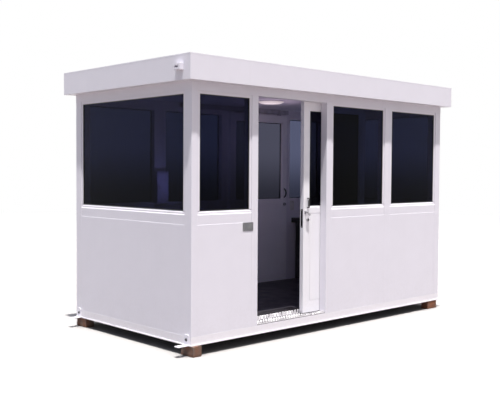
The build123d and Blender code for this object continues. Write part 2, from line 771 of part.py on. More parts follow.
leaf_lock = Part() + [lock_plate.part, lock_cylinder.part, lock_turn.part, lock_knob.part]

# Hangers: a plate on the leaf with an axle and a pair of wheels in the track
axle_z = track_bottom + track_sheet + wheel_gap + wheel_radius
hanger_middles = (leaf_left + hanger_inset, leaf_right - hanger_inset)
with BuildPart() as leaf_hangers:
    with BuildSketch(Plane.XZ.offset(-leaf_middle_y)):
        for middle in hanger_middles:
            rectangle(middle - hanger_length / 2, middle + hanger_length / 2,
                      leaf_top, axle_z + wheel_radius / 2)
    extrude(amount=hanger_plate / 2, both=True)
    with BuildSketch(Plane.XZ.offset(-leaf_middle_y)):
        with Locations(*[(middle, axle_z) for middle in hanger_middles]):
            RegularPolygon(radius=axle_radius, side_count=6)
    extrude(amount=wheel_inset, both=True)
    for side in (-1, 1):
        with BuildSketch(Plane.XZ.offset(-leaf_middle_y + side * wheel_inset)):
            with Locations(*[(middle, axle_z) for middle in hanger_middles]):
                Circle(wheel_radius)
        extrude(amount=side * wheel_thickness)

# The front leaf rests open and the back leaf rests closed
leaf_pieces = {
    "leaf_frame": leaf_frame.part,
    "leaf_panel": leaf_panel.part,
    "leaf_glass": leaf_glass.part,
    "leaf_lock": leaf_lock,
    "leaf_pulls": leaf_pulls,
    "leaf_hangers": leaf_hangers.part,
}
for name, piece in leaf_pieces.items():
    write(piece, f"front_{name}", shift=leaf_travel)
    write(piece, f"back_{name}", half_turn=True)

# Bare plate on the front wall, left of the doorway
with BuildPart() as data_plate:
    with BuildSketch(front_face):
        with Locations((doorway[0] - plate_from_doorway - plate_width / 2,
                        rail_top - plate_below_frame - plate_height / 2)):
            RectangleRounded(plate_width, plate_height, plate_corner)
    extrude(amount=plate_thickness)
write(data_plate.part, "data_plate")

# Counter across the right end: a slab with a deep nosing, and a front panel under it
counter_top_z = sill_z - counter_below_sill
counter_x = -inner_left_x - counter_depth
with BuildPart() as counter_top:
    with BuildSketch(Plane.XZ.offset(-inner_y)):
        rectangle(counter_x, -inner_left_x, counter_top_z - counter_slab, counter_top_z)
        rectangle(counter_x, counter_x + counter_nosing_thickness,
                  counter_top_z - counter_nosing, counter_top_z)
    extrude(amount=2 * inner_y)
    fillet(counter_top.edges().filter_by(Axis.Y).group_by(Axis.X)[0], counter_rounding)
write(counter_top.part, "counter_top")
with BuildPart() as counter_front:
    with BuildSketch(Plane.XZ.offset(-deck_edge_y)):
        rectangle(counter_x + counter_front_setback,
                  counter_x + counter_front_setback + counter_front_thickness,
                  deck_top, counter_top_z - counter_slab)
    extrude(amount=2 * deck_edge_y)
write(counter_front.part, "counter_front")

# Electrical box on the wide post of the back wall, and a switch plate beside the back doorway
box_spot = ((window_2[1] + window_3[0]) / 2, rail_top + box_above_rail + box_height / 2)
box_face = front_face.offset(-wall_thickness)
with BuildPart() as electrical_box:
    with BuildSketch(box_face):
        with Locations(box_spot):
            Rectangle(box_width, box_height)
    extrude(amount=-box_depth)
    with BuildSketch(box_face.offset(-box_depth)):
        with Locations(box_spot):
            Rectangle(box_width - 2 * box_lid_margin, box_height - 2 * box_lid_margin)
    extrude(amount=-box_lid_thickness)
write(electrical_box.part, "electrical_box", half_turn=True)
with BuildPart() as switch_plate:
    with BuildSketch(box_face):
        with Locations((window_1[1] - switch_from_frame,
                        rail_top - switch_below_frame - switch_height / 2)):
            RectangleRounded(switch_width, switch_height, switch_thickness)
    extrude(amount=-switch_thickness)
write(switch_plate.part, "switch_plate", half_turn=True)
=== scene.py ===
"""Dresses the toll booth: finishes for every part, glazing seals, fixings and trim, and a plain studio."""
import json
import logging
import math
from dataclasses import dataclass, field
from enum import Enum
from itertools import product
from typing import Callable, Iterable, Sequence

import bmesh
import bpy
from mathutils import Matrix, Vector


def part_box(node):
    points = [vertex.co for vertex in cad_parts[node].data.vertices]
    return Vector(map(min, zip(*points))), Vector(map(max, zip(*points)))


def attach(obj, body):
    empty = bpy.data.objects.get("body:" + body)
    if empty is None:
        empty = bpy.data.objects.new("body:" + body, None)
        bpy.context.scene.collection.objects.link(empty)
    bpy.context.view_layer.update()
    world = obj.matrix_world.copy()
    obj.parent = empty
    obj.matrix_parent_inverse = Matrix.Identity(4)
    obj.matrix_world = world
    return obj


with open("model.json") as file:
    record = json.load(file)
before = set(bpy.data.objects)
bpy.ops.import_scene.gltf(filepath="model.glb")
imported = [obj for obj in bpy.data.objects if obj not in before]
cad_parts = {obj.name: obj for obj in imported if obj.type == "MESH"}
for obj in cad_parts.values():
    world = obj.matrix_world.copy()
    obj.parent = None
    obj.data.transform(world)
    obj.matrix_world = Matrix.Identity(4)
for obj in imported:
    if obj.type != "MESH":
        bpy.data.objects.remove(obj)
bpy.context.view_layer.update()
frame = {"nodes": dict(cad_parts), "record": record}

log = logging.getLogger("booth")

Node = bpy.types.Node
Socket = bpy.types.NodeSocket
Spot = Sequence[float]
Value = float | Spot | Socket
Inputs = dict[str | int, Value]
Material = bpy.types.Material
Pair = tuple[float, float]
Point = tuple[float, float, float]
Box = tuple[Vector, Vector]

WELD = 1e-6             # metres within which two corners are one
SHARP = 0.5             # radians between the faces of an edge that gets rounded
SMOOTH = 0.6            # radians under which an edge is shaded smooth
FLAT = 0.999            # cosine over which a face lies in one of the form's own sides


class Body(Enum):
    """The bodies that a piece may ride on."""

    BOOTH = "booth"
    FRONT_DOOR = "front_door"
    BACK_DOOR = "back_door"


class Axis(Enum):
    """The three directions of the booth's frame, as places in a vector."""

    X = 0
    Y = 1
    Z = 2


# Node trees


class Graph:
    """Adds nodes and links to one node tree."""

    def __init__(self, tree: bpy.types.NodeTree) -> None:
        """Start with an empty tree."""
        self.tree = tree
        tree.nodes.clear()

    def add(self, kind: str, inputs: Inputs | None = None, **settings: object) -> Node:
        """Add one node.

        Args:
            kind: the node's type, without its ShaderNode prefix.
            inputs: a constant or an output socket for each input that isn't at its default.
            settings: the node's own properties.

        Returns:
            The new node.
        """
        node = self.tree.nodes.new("ShaderNode" + kind)
        for name, value in settings.items():
            setattr(node, name, value)
        self.fill(node, inputs or {})
        return node

    def fill(self, node: Node, inputs: Inputs) -> None:
        """Feed several inputs of a node.

        Args:
            node: the node.
            inputs: what feeds each of them.
        """
        for name, value in inputs.items():
            self.feed(node.inputs[name], value)

    def feed(self, socket: Socket, value: Value) -> None:
        """Link an output to a socket, or set the socket's own constant.

        Args:
            socket: the input to feed.
            value: an output socket, a number, a vector or a colour.
        """
        if isinstance(value, bpy.types.NodeSocket):
            self.tree.links.new(value, socket)
        elif hasattr(value, "__len__") and len(value) == 3 and len(socket.default_value) == 4:
            socket.default_value = (*value, 1.0)
        else:
            socket.default_value = value

    def math(self, operation: str, a: Value, b: Value = 0.0, c: Value = 0.0, clamp: bool = False) -> Socket:
        """One arithmetic step.

        Args:
            operation: the Math node's operation.
            a: the first operand.
            b: the second operand.
            c: the third operand.
            clamp: whether the result is kept between 0 and 1.

        Returns:
            The result's socket.
        """
        return self.add("Math", {0: a, 1: b, 2: c}, operation=operation, use_clamp=clamp).outputs[0]

    def vector(self, operation: str, a: Value, b: Value = (1.0, 1.0, 1.0)) -> Node:
        """One step with vectors, as its node."""
        return self.add("VectorMath", {0: a, 1: b}, operation=operation)

    def from_axis(self, vector: Value) -> Socket:
        """The distance of a place from the Z axis."""
        flat = self.vector("MULTIPLY", vector, (1.0, 1.0, 0.0)).outputs["Vector"]
        return self.vector("LENGTH", flat).outputs["Value"]

    def ramp(self, value: Value, low: float, high: float, start: float = 0.0, end: float = 1.0) -> Socket:
        """A smooth step.

        Args:
            value: what is compared with low and high.
            low: where the step starts.
            high: where the step ends.
            start: the result at and before low.
            end: the result at and after high.

        Returns:
            The result's socket.
        """
        step = self.add("MapRange", {"Value": value, "From Min": low, "From Max": high, "To Min": start,
                                     "To Max": end}, interpolation_type="SMOOTHSTEP")
        return step.outputs["Result"]

    def mix(self, share: Value, a: Value, b: Value, blend: str = "MIX") -> Socket:
        """Mix two colours.

        Args:
            share: how much of the second colour.
            a: the first colour.
            b: the second colour.
            blend: the Mix node's blend type.

        Returns:
            The mixed colour's socket.
        """
        node = self.add("Mix", data_type="RGBA", blend_type=blend)
        for name, value in (("Factor_Float", share), ("A_Color", a), ("B_Color", b)):
            self.feed(next(item for item in node.inputs if item.identifier == name), value)
        return next(item for item in node.outputs if item.identifier == "Result_Color")

    def noise(self, vector: Value, scale: float, detail: float = 3.0, roughness: float = 0.5,
              distortion: float = 0.0) -> Socket:
        """A noise pattern's value.

        Args:
            vector: where it is read.
            scale: how many cells to a metre.
            detail: the number of octaves.
            roughness: how strong the finer octaves are.
            distortion: how much the pattern is pulled about.

        Returns:
            The value's socket.
        """
        return self.add("TexNoise", {"Vector": vector, "Scale": scale, "Detail": detail, "Roughness": roughness,
                                     "Distortion": distortion}).outputs["Fac"]

    def stretched(self, vector: Value, scale: Point) -> Socket:
        """Coordinates scaled by axis, for a pattern that is longer one way."""
        return self.add("Mapping", {"Vector": vector, "Scale": scale}).outputs["Vector"]

    def place(self) -> Socket:
        """The place on the object, in metres."""
        return self.add("TexCoord").outputs["Object"]

    def along(self, axis: Axis) -> Socket:
        """One coordinate of the place on the object."""
        return self.add("SeparateXYZ", {"Vector": self.place()}).outputs[axis.value]

    def bump(self, height: Value, strength: float, depth: float, normal: Socket | None = None) -> Socket:
        """The normal of a surface with relief.

        Args:
            height: the relief.
            strength: how strong it is.
            depth: how deep it is, in metres.
            normal: the normal under it, where that isn't the surface's own.

        Returns:
            The normal's socket.
        """
        inputs = {"Strength": strength, "Distance": depth, "Height": height}
        if normal is not None:
            inputs["Normal"] = normal
        return self.add("Bump", inputs).outputs["Normal"]


class Effects:
    """Node groups that more than one finish uses, each made once."""

    def __init__(self) -> None:
        """Start with no groups made."""
        self.made: dict[str, bpy.types.NodeTree] = {}

    def use(self, graph: Graph, name: str, inputs: Inputs) -> dict[str, Socket]:
        """Place a group in a material with its own values.

        Args:
            graph: the material's graph.
            name: the group's name.
            inputs: the group's inputs.

        Returns:
            The group's outputs by name.
        """
        if name not in self.made:
            self.made[name] = self.group(name, *self.recipes()[name])
        return graph.add("Group", inputs, node_tree=self.made[name]).outputs

    def group(self, name: str, inputs: dict[str, str], outputs: dict[str, str],
              fill: Callable[[Graph, dict[str, Socket]], Inputs]) -> bpy.types.NodeTree:
        """Make a group.

        Args:
            name: the group's name.
            inputs: the socket type of each input.
            outputs: the socket type of each output.
            fill: adds the nodes, and says what feeds each output.

        Returns:
            The group's tree.
        """
        tree = bpy.data.node_groups.new(name, "ShaderNodeTree")
        for sockets, side in ((inputs, "INPUT"), (outputs, "OUTPUT")):
            for label, kind in sockets.items():
                tree.interface.new_socket(label, in_out=side, socket_type="NodeSocket" + kind)
        graph = Graph(tree)
        start = tree.nodes.new("NodeGroupInput")
        graph.fill(tree.nodes.new("NodeGroupOutput"), fill(graph, start.outputs))
        return tree

    def recipes(self) -> dict[str, tuple]:
        """The inputs, outputs and filling of each group."""
        return {
            "weathering": ({"Clean": "Color", "Dust": "Color", "Dust Amount": "Float"},
                           {"Color": "Color", "Mask": "Float"}, self.weathering),
            "corner_shade": ({"Reach": "Float"}, {"Mask": "Float"}, self.corner_shade),
            "edge_wear": ({"Radius": "Float"}, {"Mask": "Float", "Normal": "Vector"}, self.edge_wear),
            "brushed": ({"Stretch": "Vector"}, {"Lines": "Float", "Cloud": "Float"}, self.brushed)}

    def weathering(self, graph: Graph, start: dict[str, Socket]) -> Inputs:
        """Paint that rain and dust have touched: colour and roughness from one clean colour.

        Args:
            graph: the group's graph.
            start: the group's inputs.

        Returns:
            What feeds the group's outputs.
        """
        place = graph.place()
        runs = graph.noise(graph.stretched(place, (26.0, 26.0, 0.9)), 1.0, 4.0, 0.6)
        streak = graph.ramp(runs, 0.56, 0.78)
        low = graph.ramp(graph.along(Axis.Z), 0.10, 0.62, 1.0, 0.0)
        splash = graph.math("MULTIPLY", low, graph.ramp(graph.noise(place, 42.0, 3.0, 0.6), 0.38, 0.66))
        patch = graph.ramp(graph.noise(place, 1.6, 4.0, 0.55), 0.40, 0.72)
        dust = graph.math("ADD", graph.math("MULTIPLY", streak, 0.35), graph.math("MULTIPLY", splash, 0.55))
        dust = graph.math("ADD", dust, graph.math("MULTIPLY", patch, 0.25))
        share = graph.math("MULTIPLY", dust, start["Dust Amount"], clamp=True)
        colour = graph.mix(share, start["Clean"], start["Dust"])
        tone = graph.ramp(graph.noise(place, 5.5, 2.0), 0.3, 0.7, 0.985, 1.0)
        return {"Color": graph.mix(1.0, colour, tone, "MULTIPLY"), "Mask": share}

    def corner_shade(self, graph: Graph, start: dict[str, Socket]) -> Inputs:
        """A mask from ambient occlusion, strong in inner corners and joints, where shade is painted."""
        occlusion = graph.add("AmbientOcclusion", {"Distance": start["Reach"]}, samples=4)
        return {"Mask": graph.ramp(occlusion.outputs["AO"], 0.35, 0.85, 1.0, 0.0)}

    def edge_wear(self, graph: Graph, start: dict[str, Socket]) -> Inputs:
        """A mask on worn arrises, and the normal of an eased edge.

        Args:
            graph: the group's graph.
            start: the group's inputs.

        Returns:
            What feeds the group's outputs.
        """
        eased = graph.add("Bevel", {"Radius": start["Radius"]}, samples=4).outputs["Normal"]
        turn = graph.vector("DOT_PRODUCT", eased, graph.add("NewGeometry").outputs["Normal"])
        edge = graph.ramp(turn.outputs["Value"], 0.80, 0.99, 1.0, 0.0)
        broken = graph.ramp(graph.noise(graph.place(), 60.0, 4.0, 0.65), 0.42, 0.62)
        return {"Mask": graph.math("MULTIPLY", edge, broken), "Normal": eased}

    def brushed(self, graph: Graph, start: dict[str, Socket]) -> Inputs:
        """Fine scratches along one direction, given by how the place is stretched."""
        stretched = graph.vector("MULTIPLY", graph.place(), start["Stretch"]).outputs["Vector"]
        return {"Lines": graph.noise(stretched, 1.0, 5.0, 0.65), "Cloud": graph.noise(graph.place(), 18.0)}


effects = Effects()


def shader(name: str) -> tuple[Material, Graph, Node]:
    """A material with a Principled BSDF on its output.

    Args:
        name: the material's name.

    Returns:
        The material, its graph and the shader node.
    """
    material = bpy.data.materials.new(name)
    material.use_nodes = True
    graph = Graph(material.node_tree)
    surface = graph.add("BsdfPrincipled")
    graph.add("OutputMaterial", {"Surface": surface.outputs["BSDF"]})
    return material, graph, surface


# Finishes


@dataclass(frozen=True)
class Finish:
    """A finish with a material of its own."""

    name: str

    def make(self) -> Material:
        """Build the material.

        Returns:
            The material.
        """
        material, graph, surface = shader(self.name)
        graph.fill(surface, self.inputs(graph))
        return material

    def inputs(self, graph: Graph) -> Inputs:
        """What feeds the shader, which each kind of finish says for itself."""
        raise NotImplementedError


@dataclass(frozen=True)
class Paint(Finish):
    """Sprayed enamel on steel, with faint dust, orange peel, eased edges and painted shade in its joints."""

    colour: Point
    dust: Point = (0.52, 0.49, 0.46)
    dust_amount: float = 0.12
    roughness: float = 0.36
    peel: float = 0.05
    wave: float = 0.8
    coat: float = 0.12
    edge: float = 0.003
    # painted shade: how far and how strongly inner corners and joints are darkened towards the dust colour
    joint_reach: float = 0.018
    joint_shade: float = 0.12
    # painted shade: a darker colour over a height, for top faces that the steep key lights strongly
    top: float | None = None        # the height over which the second colour lies
    top_colour: Point = (0.29, 0.285, 0.29)

    def inputs(self, graph: Graph) -> Inputs:
        """What feeds the shader.

        Args:
            graph: the material's graph.

        Returns:
            The shader's inputs.
        """
        place = graph.place()
        clean = self.colour
        # painted shade: the darker second colour over the given height
        if self.top:
            over = graph.math("GREATER_THAN", graph.along(Axis.Z), self.top)
            clean = graph.mix(over, self.colour, self.top_colour)
        weather = effects.use(graph, "weathering",
                              {"Clean": clean, "Dust": self.dust, "Dust Amount": self.dust_amount})
        corner = effects.use(graph, "corner_shade", {"Reach": self.joint_reach})["Mask"]
        eased = effects.use(graph, "edge_wear", {"Radius": self.edge})["Normal"]
        peel = graph.math("MULTIPLY", graph.noise(place, 420.0, 2.0), self.peel)
        wave = graph.math("MULTIPLY", graph.noise(place, 3.2, 2.0), self.wave)
        # painted shade: inner corners and joints darkened towards the dust colour, by ambient occlusion
        shade = graph.math("MULTIPLY", corner, self.joint_shade)
        return {"Base Color": graph.mix(shade, weather["Color"], self.dust),
                "Roughness": graph.math("MULTIPLY_ADD", weather["Mask"], 0.35, self.roughness),
                "Coat Weight": self.coat, "Coat Roughness": 0.12,
                "Normal": graph.bump(graph.math("ADD", peel, wave), 0.35, 0.001, eased)}


@dataclass(frozen=True)
class Glass(Finish):
    """Tinted safety glass whose tint is painted lighter towards the head and darker towards the sill, as a painted
    reflection.
    """

    tint: Point
    refraction: float = 1.10
    # painted reflection: the heights where the fade starts and ends, and the share of the tint at each
    painted_reflection_fade: tuple[float, float, float, float] = (1.22, 1.85, 0.38, 1.15)   # from, to, and the share of the tint
    shadow_alpha: float = 0.55

    def inputs(self, graph: Graph) -> Inputs:
        """What feeds the shader.

        Args:
            graph: the material's graph.

        Returns:
            The shader's inputs.
        """
        # painted reflection: the tint lighter towards the head and darker towards the sill
        painted_reflection_fade = graph.ramp(graph.along(Axis.Z), *self.painted_reflection_fade)
        smear = graph.noise(graph.stretched(graph.place(), (3.0, 3.0, 1.2)), 1.0, 4.0, 0.6)
        shadow = graph.add("LightPath").outputs["Is Shadow Ray"]
        return {"Transmission Weight": 1.0, "IOR": self.refraction,
                "Base Color": graph.mix(1.0, self.tint, painted_reflection_fade, "MULTIPLY"),
                "Roughness": graph.ramp(smear, 0.5, 0.8, 0.0, 0.02),
                "Alpha": graph.math("MULTIPLY_ADD", shadow, self.shadow_alpha - 1.0, 1.0)}


@dataclass(frozen=True)
class Metal(Finish):
    """Bare or plated metal with fine scratches along one direction."""

    colour: Point
    roughness: float = 0.32
    metallic: float = 1.0
    stretch: Point = (900.0, 900.0, 12.0)
    dull: Point = (0.35, 0.34, 0.33)
    dull_amount: float = 0.4
    scratch: float = 0.25
    edge: float = 0.0012
    # the band is painted shade between the teeth on the treads, and the black finish of the lock's edge plate
    band: tuple[Axis, float, float] | None = None   # where the second colour lies, on both sides of the middle
    band_colour: Point = (0.02, 0.02, 0.022)

    def inputs(self, graph: Graph) -> Inputs:
        """What feeds the shader.

        Args:
            graph: the material's graph.

        Returns:
            The shader's inputs.
        """
        grain = effects.use(graph, "brushed", {"Stretch": self.stretch})
        cloud = graph.ramp(grain["Cloud"], 0.42, 0.72)
        colour = graph.mix(graph.math("MULTIPLY", cloud, self.dull_amount), self.colour, self.dull)
        # on the treads this band is painted shade between the teeth; on the lock it is the edge plate's black finish
        if self.band:
            axis, low, high = self.band
            spot = graph.math("ABSOLUTE", graph.along(axis))
            over, under = graph.math("GREATER_THAN", spot, low), graph.math("LESS_THAN", spot, high)
            colour = graph.mix(graph.math("MULTIPLY", over, under), colour, self.band_colour)
        lines = graph.ramp(grain["Lines"], 0.3, 0.7, -0.06, 0.10)
        eased = effects.use(graph, "edge_wear", {"Radius": self.edge})["Normal"]
        return {"Metallic": self.metallic, "Base Color": colour,
                "Roughness": graph.math("ADD", lines, graph.math("MULTIPLY_ADD", cloud, 0.18, self.roughness)),
                "Normal": graph.bump(grain["Lines"], self.scratch, 0.0004, eased)}


@dataclass(frozen=True)
class Timber(Finish):
    """Rough sawn softwood, weathered, with growth rings about a pith outside each block."""

    grey: Point
    fresh: Point
    dark: Point
    split: Point = (0.02, 0.014, 0.012)
    pith_height: float = -0.022
    pith_side: float = 1.752
    across_from: float = 0.9145     # wall face to the corner of the plan, which turns the crosswise block
    ring_pitch: float = 0.0062
    saw_pitch: float = 0.004

    def inputs(self, graph: Graph) -> Inputs:
        """What feeds the shader.

        Args:
            graph: the material's graph.

        Returns:
            The shader's inputs.
        """
        place = graph.place()
        x, y, z = (graph.along(axis) for axis in Axis)
        crosswise = graph.math("MULTIPLY", graph.math("GREATER_THAN", x), graph.math("LESS_THAN", y))
        depth = graph.math("ADD", graph.math("ABSOLUTE", y), self.across_from)
        width, along = (graph.add("Mix", {0: crosswise, 2: a, 3: b}, data_type="FLOAT").outputs[0]
                        for a, b in ((graph.math("ABSOLUTE", x), depth), (y, x)))
        grain = graph.add("CombineXYZ", {"X": graph.math("SUBTRACT", width, self.pith_side),
                                         "Y": graph.math("SUBTRACT", z, self.pith_height),
                                         "Z": graph.math("MULTIPLY", along, 0.06)}).outputs["Vector"]
        sway = graph.math("MULTIPLY", graph.noise(grain, 34.0), 1.6)
        rings = graph.math("ADD", graph.math("DIVIDE", graph.from_axis(grain), self.ring_pitch), sway)
        late = graph.ramp(graph.math("FRACT", rings), 0.35, 0.95)
        fibre = graph.noise(graph.stretched(grain, (520.0, 520.0, 40.0)), 1.0, 4.0, 0.65)
        cloud = graph.ramp(graph.noise(place, 13.0, 4.0, 0.6), 0.36, 0.66, 0.0, 0.7)
        share = graph.math("ADD", cloud, graph.ramp(x, -1.0, 1.0, 0.0, 0.5), clamp=True)
        colour = graph.mix(share, self.grey, self.fresh)
        colour = graph.mix(graph.math("MULTIPLY", late, 0.55), colour, self.dark)
        colour = graph.mix(graph.ramp(fibre, 0.35, 0.62, 0.45, 0.0), colour, self.dark)
        split = graph.noise(graph.stretched(grain, (70.0, 70.0, 9.0)), 1.0, 2.0, 0.4, 0.6)
        check = graph.ramp(graph.math("ABSOLUTE", graph.math("SUBTRACT", split, 0.5)), 0.0, 0.012, 1.0, 0.0)
        colour = graph.mix(graph.math("MULTIPLY", check, 0.8), colour, self.split)
        saw = graph.math("SINE", graph.math("MULTIPLY", along, math.tau / self.saw_pitch))
        relief = graph.math("ADD", graph.math("MULTIPLY", fibre, 0.8), graph.math("MULTIPLY", saw, 0.12))
        relief = graph.math("SUBTRACT", relief, graph.math("MULTIPLY", check, 1.2))
        return {"Specular IOR Level": 0.25,
                "Base Color": graph.mix(graph.ramp(z, 0.0, 0.03, 0.5, 0.0), colour, self.dark),
                "Roughness": graph.ramp(fibre, 0.3, 0.7, 0.78, 0.92), "Normal": graph.bump(relief, 0.7, 0.0012)}


@dataclass(frozen=True)
class Opal(Finish):
    """A lit diffuser, brightest at its middle."""

    colour: Point = (0.86, 0.84, 0.80)
    dust: Point = (0.5, 0.47, 0.42)
    glow: Point = (1.0, 0.93, 0.85)
    rim_glow: Point = (0.62, 0.55, 0.49)
    radius: float = 0.14
    strength: float = 0.36
    prism_pitch: float = 0.006

    def inputs(self, graph: Graph) -> Inputs:
        """What feeds the shader.

        Args:
            graph: the material's graph.

        Returns:
            The shader's inputs.
        """
        place = graph.place()
        away = graph.from_axis(place)
        prisms = graph.math("SINE", graph.math("MULTIPLY", away, math.tau / self.prism_pitch))
        dust = graph.ramp(graph.noise(place, 60.0, 4.0, 0.6), 0.5, 0.8, 0.0, 0.12)
        fall = graph.ramp(away, self.radius * 0.55, self.radius)
        return {"Emission Strength": self.strength, "Base Color": graph.mix(dust, self.colour, self.dust),
                "Emission Color": graph.mix(fall, self.glow, self.rim_glow),
                "Roughness": graph.ramp(graph.noise(place, 9.0), 0.3, 0.7, 0.3, 0.4),
                "Normal": graph.bump(prisms, 0.3, 0.0006)}


@dataclass(frozen=True)
class Moulded(Finish):
    """Plastic, rubber or laminate with a fine texture."""

    colour: Point
    roughness: float = 0.5
    grain_scale: float = 700.0
    grain: float = 0.3
    mottle: float = 0.12
    dust: Point = (0.42, 0.40, 0.38)
    dust_amount: float = 0.1

    def inputs(self, graph: Graph) -> Inputs:
        """What feeds the shader.

        Args:
            graph: the material's graph.

        Returns:
            The shader's inputs.
        """
        place = graph.place()
        cloud = graph.noise(place, 7.0, 4.0, 0.6)
        colour = graph.mix(1.0, self.colour, graph.ramp(cloud, 0.35, 0.7, 1.0 - self.mottle, 1.0), "MULTIPLY")
        settled = graph.ramp(graph.noise(place, 24.0, 5.0, 0.65), 0.5, 0.8, 0.0, self.dust_amount)
        return {"Base Color": graph.mix(settled, colour, self.dust),
                "Roughness": graph.ramp(cloud, 0.3, 0.7, self.roughness - 0.06, self.roughness + 0.08),
                "Normal": graph.bump(graph.noise(place, self.grain_scale, 2.0), self.grain, 0.0005)}


# Studio


@dataclass
class Camera:
    """The view of the photograph, solved from the corners of the walls."""

    place: Point = (-5.9320, -5.9860, 1.5647)
    yaw: float = 43.25
    pitch: float = 2.139
    roll: float = 0.343
    lens: float = 56.376
    sensor: float = 36.0
    sight: float = 200.0

    def build(self) -> None:
        """Make the camera and give it to the scene."""
        yaw, pitch, roll = (math.radians(angle) for angle in (self.yaw, self.pitch, self.roll))
        ahead = Vector((math.sin(yaw) * math.cos(pitch), math.cos(yaw) * math.cos(pitch), -math.sin(pitch)))
        level = Vector((math.cos(yaw), -math.sin(yaw), 0.0))
        rise = level.cross(ahead)
        right = math.cos(roll) * level + math.sin(roll) * rise
        up = math.cos(roll) * rise - math.sin(roll) * level
        data = bpy.data.cameras.new("camera")
        data.lens = self.lens
        data.sensor_width = self.sensor
        data.sensor_fit = "HORIZONTAL"
        data.clip_end = self.sight
        camera = bpy.data.objects.new("camera", data)
        turn = Matrix((right, up, -ahead)).transposed().to_4x4()
        camera.matrix_world = Matrix.Translation(self.place) @ turn
        bpy.context.scene.collection.objects.link(camera)
        bpy.context.scene.camera = camera


